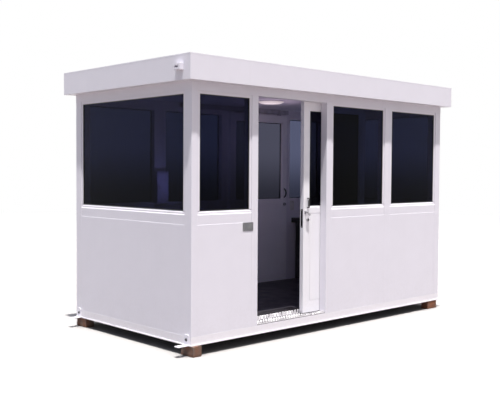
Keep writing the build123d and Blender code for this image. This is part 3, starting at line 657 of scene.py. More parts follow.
@dataclass
class Studio:
    """A pale floor, a steep key from the left of the front, an even surrounding light and faint room lamps."""

    floor_seen: Point = (0.42, 0.41, 0.405)
    floor_bounce: Point = (0.185, 0.16, 0.154)
    # painted shade on the floor close under the booth, from ambient occlusion
    painted_contact_shade: float = 0.32           # how dark the floor gets close under the booth
    painted_contact_reach: float = 0.35
    floor_radius: float = 60.0
    fade: Pair = (7.0, 22.0)     # where the floor starts and ends to turn white
    key_elevation: float = 77.1
    key_azimuth: float = -31.0
    key_strength: float = 6.85
    key_angle: float = 1.2
    key_colour: Point = (1.0, 0.975, 0.95)
    surround: float = 0.75
    surround_colour: Point = (0.95, 0.93, 1.0)
    left_colour: Point = (0.34, 0.44, 0.60)
    low_share: float = 0.48         # of that light, what comes from near the horizon
    fills: tuple[tuple[Point, float, Point], ...] = (     # place, power and colour
        ((0.0, 0.0, 2.03), 2.0, (1.0, 0.77, 1.0)), ((-0.85, 0.55, 1.38), 2.0, (0.80, 0.78, 1.3)))
    fill_size: float = 0.1

    def build(self) -> None:
        """Make the world, the key, the room lamps and the floor."""
        bpy.context.scene.view_settings.view_transform = "Standard"
        self.make_world()
        self.make_key()
        self.make_fills()
        self.make_floor()

    def looked_at(self, graph: Graph) -> Socket:
        """One for a ray that shows the background, by itself or in glass or metal, and else nought.

        Args:
            graph: the graph that asks.

        Returns:
            The answer's socket.
        """
        path = graph.add("LightPath")
        seen = graph.math("ADD", path.outputs["Is Camera Ray"], path.outputs["Is Glossy Ray"])
        return graph.math("ADD", seen, path.outputs["Is Transmission Ray"], clamp=True)

    def make_world(self) -> None:
        """Even light all round, which looks white where it is seen."""
        world = bpy.data.worlds.new("studio")
        world.use_nodes = True
        bpy.context.scene.world = world
        graph = Graph(world.node_tree)
        seen = self.looked_at(graph)
        toward = graph.add("SeparateXYZ", {"Vector": graph.add("TexCoord").outputs["Generated"]})
        colour = graph.mix(graph.ramp(toward.outputs["X"], -1.0, 0.2), self.left_colour, self.surround_colour)
        level = graph.math("MULTIPLY", graph.ramp(toward.outputs["Z"], 0.0, 0.5, self.low_share, 1.1), self.surround)
        light = graph.add("Background", {"Color": colour, "Strength": level})
        white = graph.add("Background", {"Color": (1.0, 1.0, 1.0), "Strength": 1.0})
        both = graph.add("MixShader", {0: seen, 1: light.outputs[0], 2: white.outputs[0]})
        graph.add("OutputWorld", {"Surface": both.outputs[0]})

    def lamp(self, name: str, kind: str, power: float, colour: Point) -> bpy.types.Object:
        """Add a lamp to the scene.

        Args:
            name: its name.
            kind: its type.
            power: its strength.
            colour: its colour.

        Returns:
            The lamp.
        """
        data = bpy.data.lights.new(name, kind)
        data.energy = power
        data.color = colour
        lamp = bpy.data.objects.new(name, data)
        bpy.context.scene.collection.objects.link(lamp)
        return lamp

    def make_key(self) -> None:
        """One sharp lamp, high in front of the booth and to its left."""
        key = self.lamp("key", "SUN", self.key_strength, self.key_colour)
        key.data.angle = math.radians(self.key_angle)
        elevation, azimuth = math.radians(self.key_elevation), math.radians(self.key_azimuth)
        toward = Vector((math.sin(azimuth) * math.cos(elevation), -math.cos(azimuth) * math.cos(elevation),
                         math.sin(elevation)))
        key.rotation_mode = "QUATERNION"
        key.rotation_quaternion = toward.to_track_quat("Z", "Y")

    def make_fills(self) -> None:
        """Faint lamps in the room, which show its ceiling, far wall and box and aren't seen themselves."""
        for number, (place, power, colour) in enumerate(self.fills):
            fill = self.lamp(f"fill_{number}", "POINT", power, colour)
            fill.data.shadow_soft_size = self.fill_size
            fill.location = place
            fill.visible_glossy = fill.visible_transmission = fill.visible_camera = False

    def make_floor(self) -> None:
        """A broad pale floor that fades to white far away, with painted shade close under the booth."""
        shape = bmesh.new()
        bmesh.ops.create_circle(shape, cap_ends=True, segments=64, radius=self.floor_radius)
        mesh = bpy.data.meshes.new("floor")
        shape.to_mesh(mesh)
        shape.free()
        floor = bpy.data.objects.new("floor", mesh)
        bpy.context.scene.collection.objects.link(floor)
        material, graph, surface = shader("floor")
        seen = self.looked_at(graph)
        # painted shade: the floor's seen colour darkened where the booth hides the surroundings
        near = graph.add("AmbientOcclusion", {"Distance": self.painted_contact_reach}, samples=8).outputs["AO"]
        shown = graph.mix(1.0, self.floor_seen, graph.ramp(near, 0.15, 0.75, self.painted_contact_shade, 1.0), "MULTIPLY")
        graph.fill(surface, {"Roughness": 0.9, "Specular IOR Level": 0.1,
                             "Base Color": graph.mix(seen, self.floor_bounce, shown)})
        away = graph.vector("LENGTH", graph.place()).outputs["Value"]
        share = graph.math("MULTIPLY", graph.ramp(away, *self.fade), seen)
        white = graph.add("Emission", {"Color": (1.0, 1.0, 1.0), "Strength": 1.0})
        both = graph.add("MixShader", {0: share, 1: surface.outputs["BSDF"], 2: white.outputs[0]})
        output = next(node for node in material.node_tree.nodes if node.type == "OUTPUT_MATERIAL")
        graph.feed(output.inputs["Surface"], both.outputs[0])
        floor.data.materials.append(material)


# Shapes

made: dict[str, Material] = {}      # every finish's material, by the finish's key


def place_on(foot: Spot, facing: Spot) -> Matrix:
    """Where a form made on the XY plane stands on a surface.

    Args:
        foot: the point of the surface under the form's middle.
        facing: the direction away from the surface.

    Returns:
        The form's place.
    """
    return Matrix.Translation(foot) @ Vector(facing).to_track_quat("Z", "Y").to_matrix().to_4x4()


class Shape:
    """One piece in the making, as closed forms in one mesh."""

    def __init__(self, name: str) -> None:
        """Start a piece of this name with an empty mesh."""
        self.name = name
        self.mesh = bmesh.new()

    def take(self, form: bmesh.types.BMesh, place: Matrix | None = None, ease: float = 0.0, rounds: int = 2) -> None:
        """Ease a form's edges and add it to the piece.

        Args:
            form: the form, which is used up.
            place: where it goes.
            ease: how far its edges are rounded.
            rounds: the number of faces to a rounded edge.
        """
        bmesh.ops.recalc_face_normals(form, faces=form.faces)
        if ease:
            sharp = [edge for edge in form.edges if edge.calc_face_angle(0.0) > SHARP]
            flats = [face.normal.copy() for face in form.faces]
            bmesh.ops.bevel(form, geom=sharp, offset=ease, offset_type="OFFSET", segments=rounds, profile=0.5,
                            affect="EDGES", material=-1)
            form.normal_update()
            for face in form.faces:
                face.smooth = all(face.normal.dot(flat) < FLAT for flat in flats)
        if place:
            form.transform(place)
        form.normal_update()
        bmesh.ops.recalc_face_normals(form, faces=form.faces)
        for edge in form.edges:
            edge.smooth = edge.calc_face_angle(0.0) < SMOOTH
        carrier = bpy.data.meshes.new("carrier")
        form.to_mesh(carrier)
        form.free()
        self.mesh.from_mesh(carrier)
        bpy.data.meshes.remove(carrier)

    def block(self, low: Spot, high: Spot, ease: float = 0.0, rounds: int = 2) -> None:
        """A block with eased edges.

        Args:
            low: its lowest corner.
            high: its highest corner.
            ease: how far its edges are rounded.
            rounds: the number of faces to a rounded edge.
        """
        low, high = Vector(low), Vector(high)
        form = bmesh.new()
        bmesh.ops.create_cube(form, size=1.0)
        bmesh.ops.scale(form, vec=high - low, verts=form.verts)
        self.take(form, Matrix.Translation((low + high) / 2), ease, rounds)

    def turned(self, foot: Spot, facing: Spot, profile: Sequence[Pair], steps: int = 24,
               ring: bool = False) -> None:
        """A form turned about an axis that stands on a surface.

        Args:
            foot: the middle of its foot.
            facing: the direction that it points.
            profile: pairs of radius and height.
            steps: the number of faces round it.
            ring: whether the profile closes on itself, as for a washer.
        """
        form = bmesh.new()
        points = [form.verts.new((radius, 0.0, height)) for radius, height in profile]
        pairs = list(zip(points, points[1:])) + ([(points[-1], points[0])] if ring else [])
        edges = [form.edges.new(pair) for pair in pairs]
        bmesh.ops.spin(form, geom=points + edges, cent=(0, 0, 0), axis=(0, 0, 1), dvec=(0, 0, 0), angle=math.tau,
                       steps=steps, use_merge=True, use_duplicate=False)
        bmesh.ops.remove_doubles(form, verts=form.verts, dist=WELD)
        for face in form.faces:
            face.smooth = True
        self.take(form, place_on(foot, facing))

    def pierced(self, low: Spot, high: Spot, hole: Box, across: Axis, ease: float = 0.0) -> None:
        """A sheet with a rectangular hole.

        Args:
            low: its lowest corner.
            high: its highest corner.
            hole: the box of what goes through it.
            across: the direction through the hole.
            ease: how far its edges are rounded.
        """
        low, high = Vector(low), Vector(high)
        u, v = (axis.value for axis in Axis if axis is not across)
        form = bmesh.new()
        rings = []
        for first, last in ((low, high), hole):
            ring = []
            for end_u, end_v in ((first, first), (last, first), (last, last), (first, last)):
                corner = low.copy()
                corner[u], corner[v] = end_u[u], end_v[v]
                ring.append(form.verts.new(corner))
            rings.append(ring)
        for number in range(4):
            form.faces.new((rings[0][number - 1], rings[0][number], rings[1][number], rings[1][number - 1]))
        raised = bmesh.ops.extrude_face_region(form, geom=form.faces[:])["geom"]
        top = [item for item in raised if isinstance(item, bmesh.types.BMVert)]
        rise = Vector([high[axis.value] - low[axis.value] if axis is across else 0.0 for axis in Axis])
        bmesh.ops.translate(form, vec=rise, verts=top)
        self.take(form, ease=ease)

    def border(self, low: Spot, high: Spot, across: Axis, band: float, ease: float = 0.0) -> None:
        """A rectangular border, such as a gasket.

        Args:
            low: the lowest corner of its outside.
            high: the highest corner of its outside.
            across: the direction through its opening.
            band: the width of each side.
            ease: how far its edges are rounded.
        """
        inset = Vector((band, band, band))
        self.pierced(low, high, (Vector(low) + inset, Vector(high) - inset), across, ease)

    def bolt(self, foot: Spot, facing: Spot, radius: float) -> None:
        """A hexagon head on a washer.

        Args:
            foot: the middle of the washer's back.
            facing: the direction that the head points.
            radius: from the middle of the head to a corner.
        """
        washer = radius * 0.14
        head = radius * 0.62
        self.turned(foot, facing, [(0.0, 0.0), (radius * 1.2, 0.0), (radius * 1.2, washer * 0.7),
                                   (radius * 1.12, washer), (0.0, washer)])
        form = bmesh.new()
        bmesh.ops.create_cone(form, cap_ends=True, segments=6, radius1=radius, radius2=radius, depth=head)
        seat = Vector(foot) + Vector(facing) * (washer + head / 2)
        self.take(form, place_on(seat, facing), radius * 0.07)

    def screw(self, foot: Spot, facing: Spot, radius: float) -> None:
        """A round head with a socket.

        Args:
            foot: the middle of its back.
            facing: the direction that it points.
            radius: the head's radius.
        """
        shares = ((0.0, 0.0), (1.0, 0.0), (0.97, 0.22), (0.72, 0.48), (0.38, 0.58), (0.30, 0.28), (0.0, 0.28))
        self.turned(foot, facing, [(radius * out, radius * up) for out, up in shares], 14)

    def finish(self, finish: str, body: Body = Body.BOOTH, slot: str | None = None,
               place: Matrix | None = None) -> None:
        """Make the object, set it on its body and report it.

        Args:
            finish: the key of its finish.
            body: what it moves with.
            slot: the record's slot, where that isn't the finish's key, and empty for none; not used.
            place: a turn or shift of the whole piece.
        """
        if place:
            self.mesh.transform(place)
        mesh = bpy.data.meshes.new(self.name)
        self.mesh.to_mesh(mesh)
        self.mesh.free()
        mesh.materials.append(made[finish])
        piece = bpy.data.objects.new(self.name, mesh)
        bpy.context.scene.collection.objects.link(piece)
        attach(piece, body.value)
        if slot is None and finish in FINISHES:
            slot = finish
        log.info("%s: %d faces, on %s", self.name, len(mesh.polygons), body.value)


def solids(node: str) -> list[Box]:
    """The boxes of a carried-over part's separate solids.

    Args:
        node: the part's name.

    Returns:
        The lowest and highest corner of each solid, from left to right.
    """
    form = bmesh.new()
    form.from_mesh(frame["nodes"][node].data)
    bmesh.ops.remove_doubles(form, verts=form.verts, dist=WELD)
    left = set(form.verts)
    boxes = []
    while left:
        reached = [left.pop()]
        corners = []
        while reached:
            vertex = reached.pop()
            corners.append(vertex.co.copy())
            near = [edge.other_vert(vertex) for edge in vertex.link_edges]
            reached += [other for other in near if other in left]
            left.difference_update(near)
        boxes.append(tuple(Vector(map(pick, zip(*corners))) for pick in (min, max)))
    form.free()
    return sorted(boxes, key=lambda box: tuple(box[0]))


def spaced(low: float, high: float, pitch: float) -> list[float]:
    """Even places along a length, half a step in from its ends.

    Args:
        low: where it starts.
        high: where it ends.
        pitch: how far they are apart at least.

    Returns:
        The places.
    """
    count = int((high - low) / pitch)
    return [low + (high - low) * (number + 0.5) / count for number in range(count)]


# Booth


@dataclass
class Glazing:
    """Rubber gaskets round the panes, outside and inside."""

    reach: float = 0.0077           # how far a pane goes into its groove
    band: float = 0.007
    proud: float = 0.0032
    ease: float = 0.0011

    def lay(self, shape: Shape, pane: Box, across: Axis) -> None:
        """Lay a gasket on each face of one pane.

        Args:
            shape: the piece that takes them.
            pane: the pane's box.
            across: the direction through the pane.
        """
        sight = Vector([0.0 if axis is across else self.reach for axis in Axis])
        thick = Vector([self.proud if axis is across else 0.0 for axis in Axis])
        low, high = pane[0] + sight, pane[1] - sight
        outer, inner = high.copy(), low.copy()
        outer[across.value], inner[across.value] = low[across.value], high[across.value]
        shape.border(low - thick, outer, across, self.band, self.ease)
        shape.border(inner, high + thick, across, self.band, self.ease)

    def build(self) -> None:
        """Make the gaskets of each wall."""
        for wall, across in (("front", Axis.Y), ("back", Axis.Y), ("left", Axis.X), ("right", Axis.X)):
            shape = Shape(wall + "_window_gaskets")
            for pane in solids(wall + "_glass"):
                self.lay(shape, pane, across)
            shape.finish("rubber")


@dataclass
class Roof:
    """Lap strips on the roof sheet, the seal round it and flush sheets on the fascias."""

    strips: int = 3
    strip_width: float = 0.05
    strip_rise: float = 0.003
    strip_ease: float = 0.001
    fixing_pitch: float = 0.24
    fixing_radius: float = 0.007
    seal: float = 0.012
    seal_rise: float = 0.0072
    seal_ease: float = 0.003
    hem_rise: float = 0.014
    hem_reach: float = 0.004
    lift: float = 0.0003            # how far the sheets stay over the fascia's lower edge
    sunk: float = 0.0002            # how far the sheets stay behind the hem
    seat: float = 0.0001            # how far they go into the fascia

    def build(self) -> None:
        """Make the strips with their screws, the seal and the sheets."""
        low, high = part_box("roof_panel")
        top = high.z
        strips = Shape("roof_lap_strips")
        screws = Shape("roof_screws")
        half = self.strip_width / 2
        for number in range(self.strips):
            middle = low.x + (high.x - low.x) * (number + 1) / (self.strips + 1)
            strips.block((middle - half, low.y + self.seal, top),
                         (middle + half, high.y - self.seal, top + self.strip_rise), self.strip_ease)
            for y in spaced(low.y, high.y, self.fixing_pitch):
                screws.bolt((middle, y, top + self.strip_rise), (0, 0, 1), self.fixing_radius)
        strips.finish("roof_sheet", slot="body_paint")
        screws.finish("fixing")
        seal = Shape("roof_edge_seal")
        seal.border((low.x, low.y, top), (high.x, high.y, top + self.seal_rise), Axis.Z, self.seal, self.seal_ease)
        seal.finish("sealant")
        self.facing()

    def facing(self) -> None:
        """Flush sheets on the fascias, under the top hem and round the scuppers."""
        low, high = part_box("front_fascia")
        bottom, top = low.z + self.lift, high.z - self.hem_rise
        outer, inner = self.sunk, self.hem_reach + self.seat
        scuppers = solids("roof_scuppers")
        shape = Shape("fascia_sheets")
        for side, scupper in ((-1, scuppers[0]), (1, scuppers[-1])):
            near, far = sorted(side * (abs(low.y) - reach) for reach in (outer, inner))
            shape.block((low.x + outer, near, bottom), (high.x - outer, far, top))
            near, far = sorted(side * (high.x - reach) for reach in (outer, inner))
            shape.pierced((near, low.y + inner, bottom), (far, -low.y - inner, top), scupper, Axis.X)
        shape.finish("body_paint")


@dataclass
class Anchorage:
    """Bolts through the upright legs of the anchor clips."""

    sheet: float = 0.006
    bolt_height: float = 0.05
    bolt_radius: float = 0.0115

    def build(self) -> None:
        """Make the bolts."""
        shape = Shape("clip_bolts")
        for low, high in solids("anchor_clips"):
            side = -1 if low.x < 0 else 1
            wall = high.x if side < 0 else low.x
            foot = (wall + side * self.sheet, (low.y + high.y) / 2, low.z + self.bolt_height)
            shape.bolt(foot, (side, 0, 0), self.bolt_radius)
        shape.finish("black_fixing")


@dataclass(frozen=True)
class Teeth:
    """The sizes of one comb."""

    pitch: float
    width: float
    depth: float
    rise: float


@dataclass
class Treads:
    """Upright combs along the front edges of the planks, for grip, and the screws of the planks."""

    lug: float = 0.0065
    end_gap: float = 0.012
    front_gap: float = 0.002
    sill: Teeth = Teeth(0.030, 0.016, 0.009, 0.024)
    inner: Teeth = Teeth(0.0425, 0.023, 0.011, 0.037)
    foot: float = 0.005
    foot_ease: float = 0.001
    overlap: float = 0.0005
    roundness: float = 0.42         # of a tooth's lesser side
    screw_radius: float = 0.005

    def comb(self, shape: Shape, plank: Box, teeth: Teeth) -> None:
        """A comb of upright teeth with rounded tops, along the front edge of a plank.

        Args:
            shape: the piece that takes it.
            plank: the plank's box.
            teeth: the comb's sizes.
        """
        low, high = plank
        face = high.z - self.lug
        front = low.y + self.front_gap
        back = front + teeth.depth
        first, last = low.x + self.end_gap, high.x - self.end_gap
        shape.block((first, front, face), (last, back, face + self.foot), self.foot_ease)
        count = int((last - first - teeth.width) / teeth.pitch) + 1
        start = (first + last - (count - 1) * teeth.pitch) / 2
        ease = min(teeth.width, teeth.depth) * self.roundness
        for middle in (start + number * teeth.pitch for number in range(count)):
            shape.block((middle - teeth.width / 2, front - self.overlap, face + self.foot_ease),
                        (middle + teeth.width / 2, back + self.overlap, face + teeth.rise), ease, 3)

    def build(self) -> None:
        """Make the combs and the screws of the planks."""
        *sills, inner = sorted(solids("front_tread_planks"), key=lambda box: box[0].y)
        for name, planks, teeth in (("sill_combs", sills, self.sill), ("inner_comb", [inner], self.inner)):
            shape = Shape(name)
            for plank in planks:
                self.comb(shape, plank, teeth)
            shape.finish("tread_metal")
        screws = Shape("plank_screws")
        for low, high in solids("front_tread_planks") + solids("back_tread_planks"):
            for x in (low.x + self.end_gap / 2, high.x - self.end_gap / 2):
                screws.screw((x, (low.y + high.y) / 2, high.z - self.lug), (0, 0, 1), self.screw_radius)
        screws.finish("fixing")


@dataclass
class Fittings:
    """Trim of the data plate, ceiling light, electrical box, switch, counter and tracks."""

    plate_inset: float = 0.002
    plate_border: float = 0.0025
    plate_rise: float = 0.0005
    plate_ease: float = 0.0002
    rivet_radius: float = 0.0022
    rivet_inset: float = 0.0075
    ring_gap: float = 0.0003
    ring_width: float = 0.006
    ring_drop: float = 0.008
    ring_chamfer: float = 0.002
    hinge_radius: float = 0.004
    hinge_length: float = 0.045
    hinge_seat: float = 0.003
    hinge_heights: Pair = (0.2, 0.8)            # as shares of the box's height
    lid_margin: float = 0.008
    seam_inset: float = 0.014
    seam: Point = (0.001, 0.003, 0.0004)        # rise, width and ease
    catch: Point = (0.012, 0.006, 0.036)        # width, rise and height
    catch_inset: float = 0.020
    catch_ease: float = 0.0015
    lid_screw_inset: float = 0.026
    rocker_frame: Point = (0.019, 0.001, 0.036)     # half width, rise and half height
    rocker_band: Pair = (0.002, 0.0004)         # width and ease
    rocker: Point = (0.016, 0.004, 0.033)       # half width, rise and half height
    rocker_ease: float = 0.0018
    switch_screw: Pair = (0.0035, 0.048)        # radius, and distance from the middle
    edge_band: float = 0.0012
    band_inset: Pair = (0.003, 0.005)           # from the ends and from the faces
    band_ease: float = 0.0005
    screw_pitch: float = 0.3
    screw_radius: float = 0.0045
    guide_screw: tuple[float, float, float, float] = (0.012, 0.008, 0.0045, 0.0036)     # insets, height and radius

    def build(self) -> None:
        """Make the trim of each fitting."""
        self.data_plate()
        self.ceiling_light()
        self.electrical_box()
        self.switch()
        self.counter()
        self.tracks()

    def data_plate(self) -> None:
        """The raised edge and the rivets of the bare plate."""
        low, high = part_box("data_plate")
        edge = Shape("data_plate_edge")
        inset = self.plate_inset
        edge.border((low.x + inset, low.y - self.plate_rise, low.z + inset), (high.x - inset, low.y, high.z - inset),
                    Axis.Y, self.plate_border, self.plate_ease)
        edge.finish("plate_metal")
        rivets = Shape("data_plate_rivets")
        inset = self.rivet_inset
        for x, z in product((low.x + inset, high.x - inset), (low.z + inset, high.z - inset)):
            rivets.screw((x, low.y, z), (0, -1, 0), self.rivet_radius)
        rivets.finish("fixing")

    def ceiling_light(self) -> None:
        """The enamelled ring that holds the diffuser."""
        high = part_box("ceiling_light")[1]
        radius = high.x + self.ring_gap
        wide = radius + self.ring_width
        drop = self.ring_drop
        ring = Shape("light_ring")
        ring.turned((0, 0, high.z), (0, 0, -1), [(radius, 0.0), (wide, 0.0), (wide, drop * 0.7),
                                                 (wide - self.ring_chamfer, drop), (radius, drop)], 64, True)
        ring.finish("trim_paint")

    def electrical_box(self) -> None:
        """The seam, hinges and catch of the box's lid."""
        low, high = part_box("electrical_box")
        trim = Shape("electrical_box_hinges")
        radius, length = self.hinge_radius, self.hinge_length
        for z in (low.z + (high.z - low.z) * share for share in self.hinge_heights):
            trim.turned((high.x - self.lid_margin, low.y + self.hinge_seat, z - length / 2), (0, 0, 1),
                        [(0.0, 0.0), (radius, 0.0), (radius, length), (0.0, length)], 14)
        inset = self.seam_inset
        rise, width, ease = self.seam
        trim.border((low.x + inset, low.y - rise, low.z + inset), (high.x - inset, low.y, high.z - inset), Axis.Y,
                    width, ease)
        trim.finish("box_paint")
        catch = Shape("electrical_box_catch")
        side, middle = low.x + self.catch_inset, (low.z + high.z) / 2
        width, rise, tall = self.catch
        catch.block((side, low.y - rise, middle - tall / 2), (side + width, low.y, middle + tall / 2),
                    self.catch_ease)
        inset = self.lid_screw_inset
        for x, z in product((low.x + inset, high.x - inset), (low.z + inset, high.z - inset)):
            catch.screw((x, low.y, z), (0, -1, 0), self.screw_radius)
        catch.finish("fixing")

    def switch(self) -> None:
        """The rocker and the screws of the switch plate."""
        low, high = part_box("switch_plate")
        foot = Vector(((low.x + high.x) / 2, low.y, (low.z + high.z) / 2))
        wide, rise, tall = self.rocker_frame
        rocker = Shape("switch_rocker")
        rocker.border(foot - Vector((wide, rise, tall)), foot + Vector((wide, 0.0, tall)), Axis.Y, *self.rocker_band)
        wide, rise, tall = self.rocker
        rocker.block(foot - Vector((wide, rise, tall)), foot + Vector((wide, 0.0, tall)), self.rocker_ease)
        rocker.finish("switch_plastic")
        screws = Shape("switch_screws")
        radius, away = self.switch_screw
        for height in (foot.z - away, foot.z + away):
            screws.screw((foot.x, low.y, height), (0, -1, 0), radius)
        screws.finish("fixing")

    def counter(self) -> None:
        """The edge band along the counter's nosing."""
        low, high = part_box("counter_top")
        end, face = self.band_inset
        band = Shape("counter_edge_band")
        band.block((low.x - self.edge_band, low.y + end, low.z + face), (low.x, high.y - end, high.z - face),
                   self.band_ease)
        band.finish("counter_dark")

    def tracks(self) -> None:
        """Screws along both door tracks and in the floor guides."""
        screws = Shape("track_screws")
        for node, facing in (("front_track", 1), ("back_track", -1)):
            low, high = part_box(node)
            face = high.y if facing > 0 else low.y
            for x in spaced(low.x, high.x, self.screw_pitch):
                screws.screw((x, face, (low.z + high.z) / 2), (0, facing, 0), self.screw_radius)
        end, side, height, radius = self.guide_screw
        for low, high in solids("floor_guides"):
            for x, y in product((low.x + end, high.x - end), (low.y + side, high.y - side)):
                screws.screw((x, y, low.z + height), (0, 0, 1), radius)
        screws.finish("fixing")


# Doors


@dataclass
class Leaf:
    """Gaskets, rings and fixings of one sliding leaf, made on the front leaf and turned round for the back one."""

    body: Body
    glazing: Glazing = field(default_factory=Glazing)
    ring_gap: float = 0.0003
    ring_width: float = 0.004
    ring_rise: float = 0.0022
    ring_chamfer: Pair = (0.0006, 0.001)        # outside and inside
    edge_screw: float = 0.0042
    edge_screw_inset: float = 0.011
    latch: Point = (0.0015, 0.012, 0.032)       # rise, width and height
    latch_ease: float = 0.0005
    skin_reach: float = 0.0085      # how far the panel goes into its grooves, and a hair more
    skin_recess: float = 0.0029
    skin_seat: float = 0.0001
    skin_ease: float = 0.0004
    plug: Point = (0.011, 0.0018, 0.001)        # radius, rise and shoulder
    largest_cylinder: float = 0.0302
    margin: float = 0.001           # within which two sizes or places are one
    knob_height: float = 1.12       # the cylinder lies under it
    sleeve: Point = (0.0085, 0.018, 0.002)      # radius, distance from the ends and chamfer

    def place(self) -> Matrix | None:
        """The turn that carries a piece from the front leaf to this one."""
        if self.body is Body.FRONT_DOOR:
            return None
        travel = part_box("front_leaf_frame")[0].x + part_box("back_leaf_frame")[1].x
        return Matrix.Rotation(math.pi, 4, "Z") @ Matrix.Translation((-travel, 0.0, 0.0))

    def shape(self, piece: str) -> Shape:
        """Start a piece, with its name on this leaf."""
        return Shape(("front_" if self.body is Body.FRONT_DOOR else "back_") + piece)

    def finish(self, shape: Shape, finish: str, slot: str | None = None) -> None:
        """Finish a piece and carry it to this leaf."""
        shape.finish(finish, self.body, slot, self.place())

    def build(self) -> None:
        """Make the pieces of the leaf."""
        gaskets = self.shape("leaf_gaskets")
        self.glazing.lay(gaskets, solids("front_leaf_glass")[0], Axis.Y)
        self.finish(gaskets, "rubber")
        self.rings()
        self.edge_plate()
        self.dark_parts()
        skin = self.shape("leaf_skin")
        low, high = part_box("front_leaf_panel")
        reach = self.skin_reach
        skin.block((low.x + reach, low.y - self.skin_recess, low.z + reach),
                   (high.x - reach, low.y + self.skin_seat, high.z - reach), self.skin_ease)
        self.finish(skin, "leaf_paint")

    def round_parts(self) -> list[tuple[Box, bool]]:
        """The round parts of the lock.

        Returns:
            The box of each, and whether it is on the leaf's outside.
        """
        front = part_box("front_leaf_frame")[0].y
        sizes = ((box, box[1] - box[0]) for box in solids("front_leaf_lock"))
        near = self.margin
        return [(box, box[0].y < front - near) for box, size in sizes if abs(size.x - size.z) < near]

    def dark_parts(self) -> None:
        """The keyway plug on the cylinder and a sleeve on the outer pull."""
        shape = self.shape("lock_dark_parts")
        low, high = next(box for box, outside in self.round_parts() if outside
                         and (box[1] - box[0]).x < self.largest_cylinder and box[1].z < self.knob_height)
        radius, rise, shoulder = self.plug
        shape.turned(((low.x + high.x) / 2, low.y, (low.z + high.z) / 2), (0, -1, 0), [
            (0.0, 0.0), (radius, 0.0), (radius, shoulder), (radius - shoulder, rise), (0.0, rise)])
        low, high = min(solids("front_leaf_pulls"), key=lambda box: box[0].y)
        radius, end, chamfer = self.sleeve
        tall, thin = high.z - low.z - 2 * end, radius - chamfer
        shape.turned(((low.x + high.x) / 2, low.y + (high.x - low.x) / 2, low.z + end), (0, 0, 1), [
            (0.0, 0.0), (thin, 0.0), (radius, chamfer), (radius, tall - chamfer), (thin, tall), (0.0, tall)])
        self.finish(shape, "pull_black", "")

    def rings(self) -> None:
        """A ring round the cylinder outside and round the knob inside."""
        rings = self.shape("lock_rings")
        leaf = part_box("front_leaf_frame")
        rise = self.ring_rise
        outer, inner = self.ring_chamfer
        for (low, high), outside in self.round_parts():
            radius = (high.x - low.x) / 2 + self.ring_gap
            wide = radius + self.ring_width
            foot = ((low.x + high.x) / 2, leaf[0].y if outside else leaf[1].y, (low.z + high.z) / 2)
            rings.turned(foot, (0, -1 if outside else 1, 0), [
                (radius, 0.0), (wide, 0.0), (wide - outer, rise * 0.7), (radius + inner, rise), (radius, rise)],
                32, True)
        self.finish(rings, "lock_steel")

    def edge_plate(self) -> None:
        """The screws and the latch of the plate in the leaf's edge."""
        low, high = min(solids("front_leaf_lock"), key=lambda box: (box[1] - box[0]).x)
        y, z = (low.y + high.y) / 2, (low.z + high.z) / 2
        screws = self.shape("edge_plate_screws")
        for height in (low.z + self.edge_screw_inset, high.z - self.edge_screw_inset):
            screws.screw((low.x, y, height), (-1, 0, 0), self.edge_screw)
        self.finish(screws, "fixing")
        latch = self.shape("latch")
        proud, wide, tall = self.latch
        latch.block((low.x - proud, y - wide / 2, z - tall / 2), (low.x, y + wide / 2, z + tall / 2), self.latch_ease)
        self.finish(latch, "pull_black", "lock_steel")


# Finishes by slot

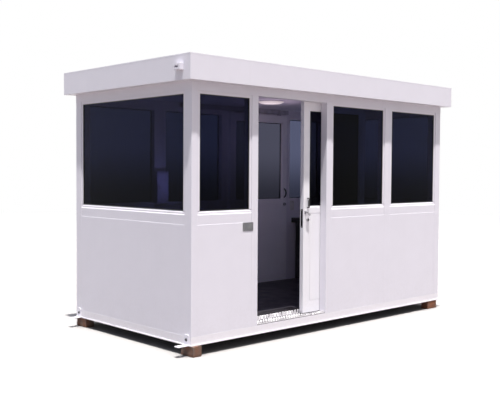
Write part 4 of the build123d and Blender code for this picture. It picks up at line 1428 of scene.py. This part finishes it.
WHITE = (0.82, 0.798, 0.868)
FINISHES = {
    "timber": Timber("weathered_timber", (0.23, 0.17, 0.14), (0.36, 0.135, 0.07), (0.085, 0.045, 0.03)),
    "body_paint": Paint("body_enamel", WHITE),
    "panel_paint": Paint("panel_enamel", WHITE, peel=0.04),
    "trim_paint": Paint("trim_enamel", (0.84, 0.81, 0.87), roughness=0.3),
    "leaf_paint": Paint("leaf_enamel", (0.91, 0.895, 0.935), roughness=0.32),
    "underframe_steel": Paint("grey_primer", (0.09, 0.09, 0.095)),
    "floor_rubber": Moulded("deck_rubber", (0.021, 0.018, 0.026), 0.45),
    # the dark band, below the feet of the teeth, is painted shade between them
    "tread_metal": Metal("tread_aluminium", (0.74, 0.72, 0.74), 0.42, 0.35, (40.0, 900.0, 900.0), dull_amount=0.2,
                         band=(Axis.Z, 0.0, 0.1737), band_colour=(0.14, 0.13, 0.145)),
    "tinted_glass": Glass("window_glass", (0.078, 0.086, 0.145)),
    "leaf_glass": Glass("leaf_glass", (0.06, 0.061, 0.09)),
    "track_steel": Metal("zinc_plate", (0.55, 0.53, 0.58), 0.45, 0.3),
    "lock_steel": Metal("satin_steel", (0.42, 0.41, 0.44), 0.25, band=(Axis.Y, 0.80, 0.825)),
    "pull_black": Moulded("black_enamel", (0.012, 0.012, 0.014), 0.3),
    "plate_metal": Metal("plate_aluminium", (0.16, 0.16, 0.175), 0.4, 0.6),
    # near black: the counter's dark laminate, and painted shade where its front fills the shaded space under the top
    "counter_dark": Moulded("counter_laminate_and_shade", (0.02, 0.02, 0.022), 0.4),
    "light_diffuser": Opal("opal_diffuser"),
    "box_paint": Paint("box_enamel", (0.80, 0.76, 0.93)),
    "switch_plastic": Moulded("switch_plastic", (0.75, 0.74, 0.72), 0.3),
}
OTHER_FINISHES = {
    # the grey over the roof's top face is painted shade, which keeps the level roof from going white under the steep
    # key
    "roof_sheet": Paint("roof_sheet_enamel", WHITE, dust_amount=0.6, roughness=0.55, coat=0.0, top=2.3865),
    "base_enamel": Paint("base_enamel", (0.89, 0.866, 0.91)),
    "rubber": Moulded("gasket_rubber", (0.010, 0.010, 0.011), 0.42, 1400.0, 0.2, 0.1),
    "sealant": Moulded("roof_sealant", (0.24, 0.24, 0.25), 0.6),
    "fixing": Metal("zinc_fixings", (0.50, 0.50, 0.52), 0.34),
    "black_fixing": Metal("blackened_fixings", (0.05, 0.05, 0.055), 0.45, 0.7),
    "inside_enamel": Paint("plate_edge_enamel", WHITE),
}
OWN_FINISH = {"roof_panel": "roof_sheet", "floor_plate": "inside_enamel", "base_side_rails": "base_enamel",
              "base_end_rails": "base_enamel"}


def dress(nodes: Iterable[str], finish: str) -> None:
    """Give carried-over parts their finish and report it.

    Args:
        nodes: the parts' names.
        finish: the key of the finish.
    """
    for name in nodes:
        materials = frame["nodes"][name].data.materials
        materials.clear()
        materials.append(made[finish])
        log.info("%s on %s", made[finish].name, name)


def main() -> None:
    """Build the studio, dress the parts, build the pieces and report each step."""
    Camera().build()
    Studio().build()
    for key, finish in (FINISHES | OTHER_FINISHES).items():
        made[key] = finish.make()
    for slot in FINISHES:
        dress([part["node"] for part in frame["record"]["subparts"] if part["material_slot"] == slot], slot)
    for node, finish in OWN_FINISH.items():
        dress([node], finish)
    for group in (Glazing(), Roof(), Anchorage(), Treads(), Fittings(), Leaf(Body.FRONT_DOOR), Leaf(Body.BACK_DOOR)):
        group.build()


if __name__ == "__main__":
    logging.basicConfig(level=logging.INFO, format="%(name)s: %(message)s")
    main()
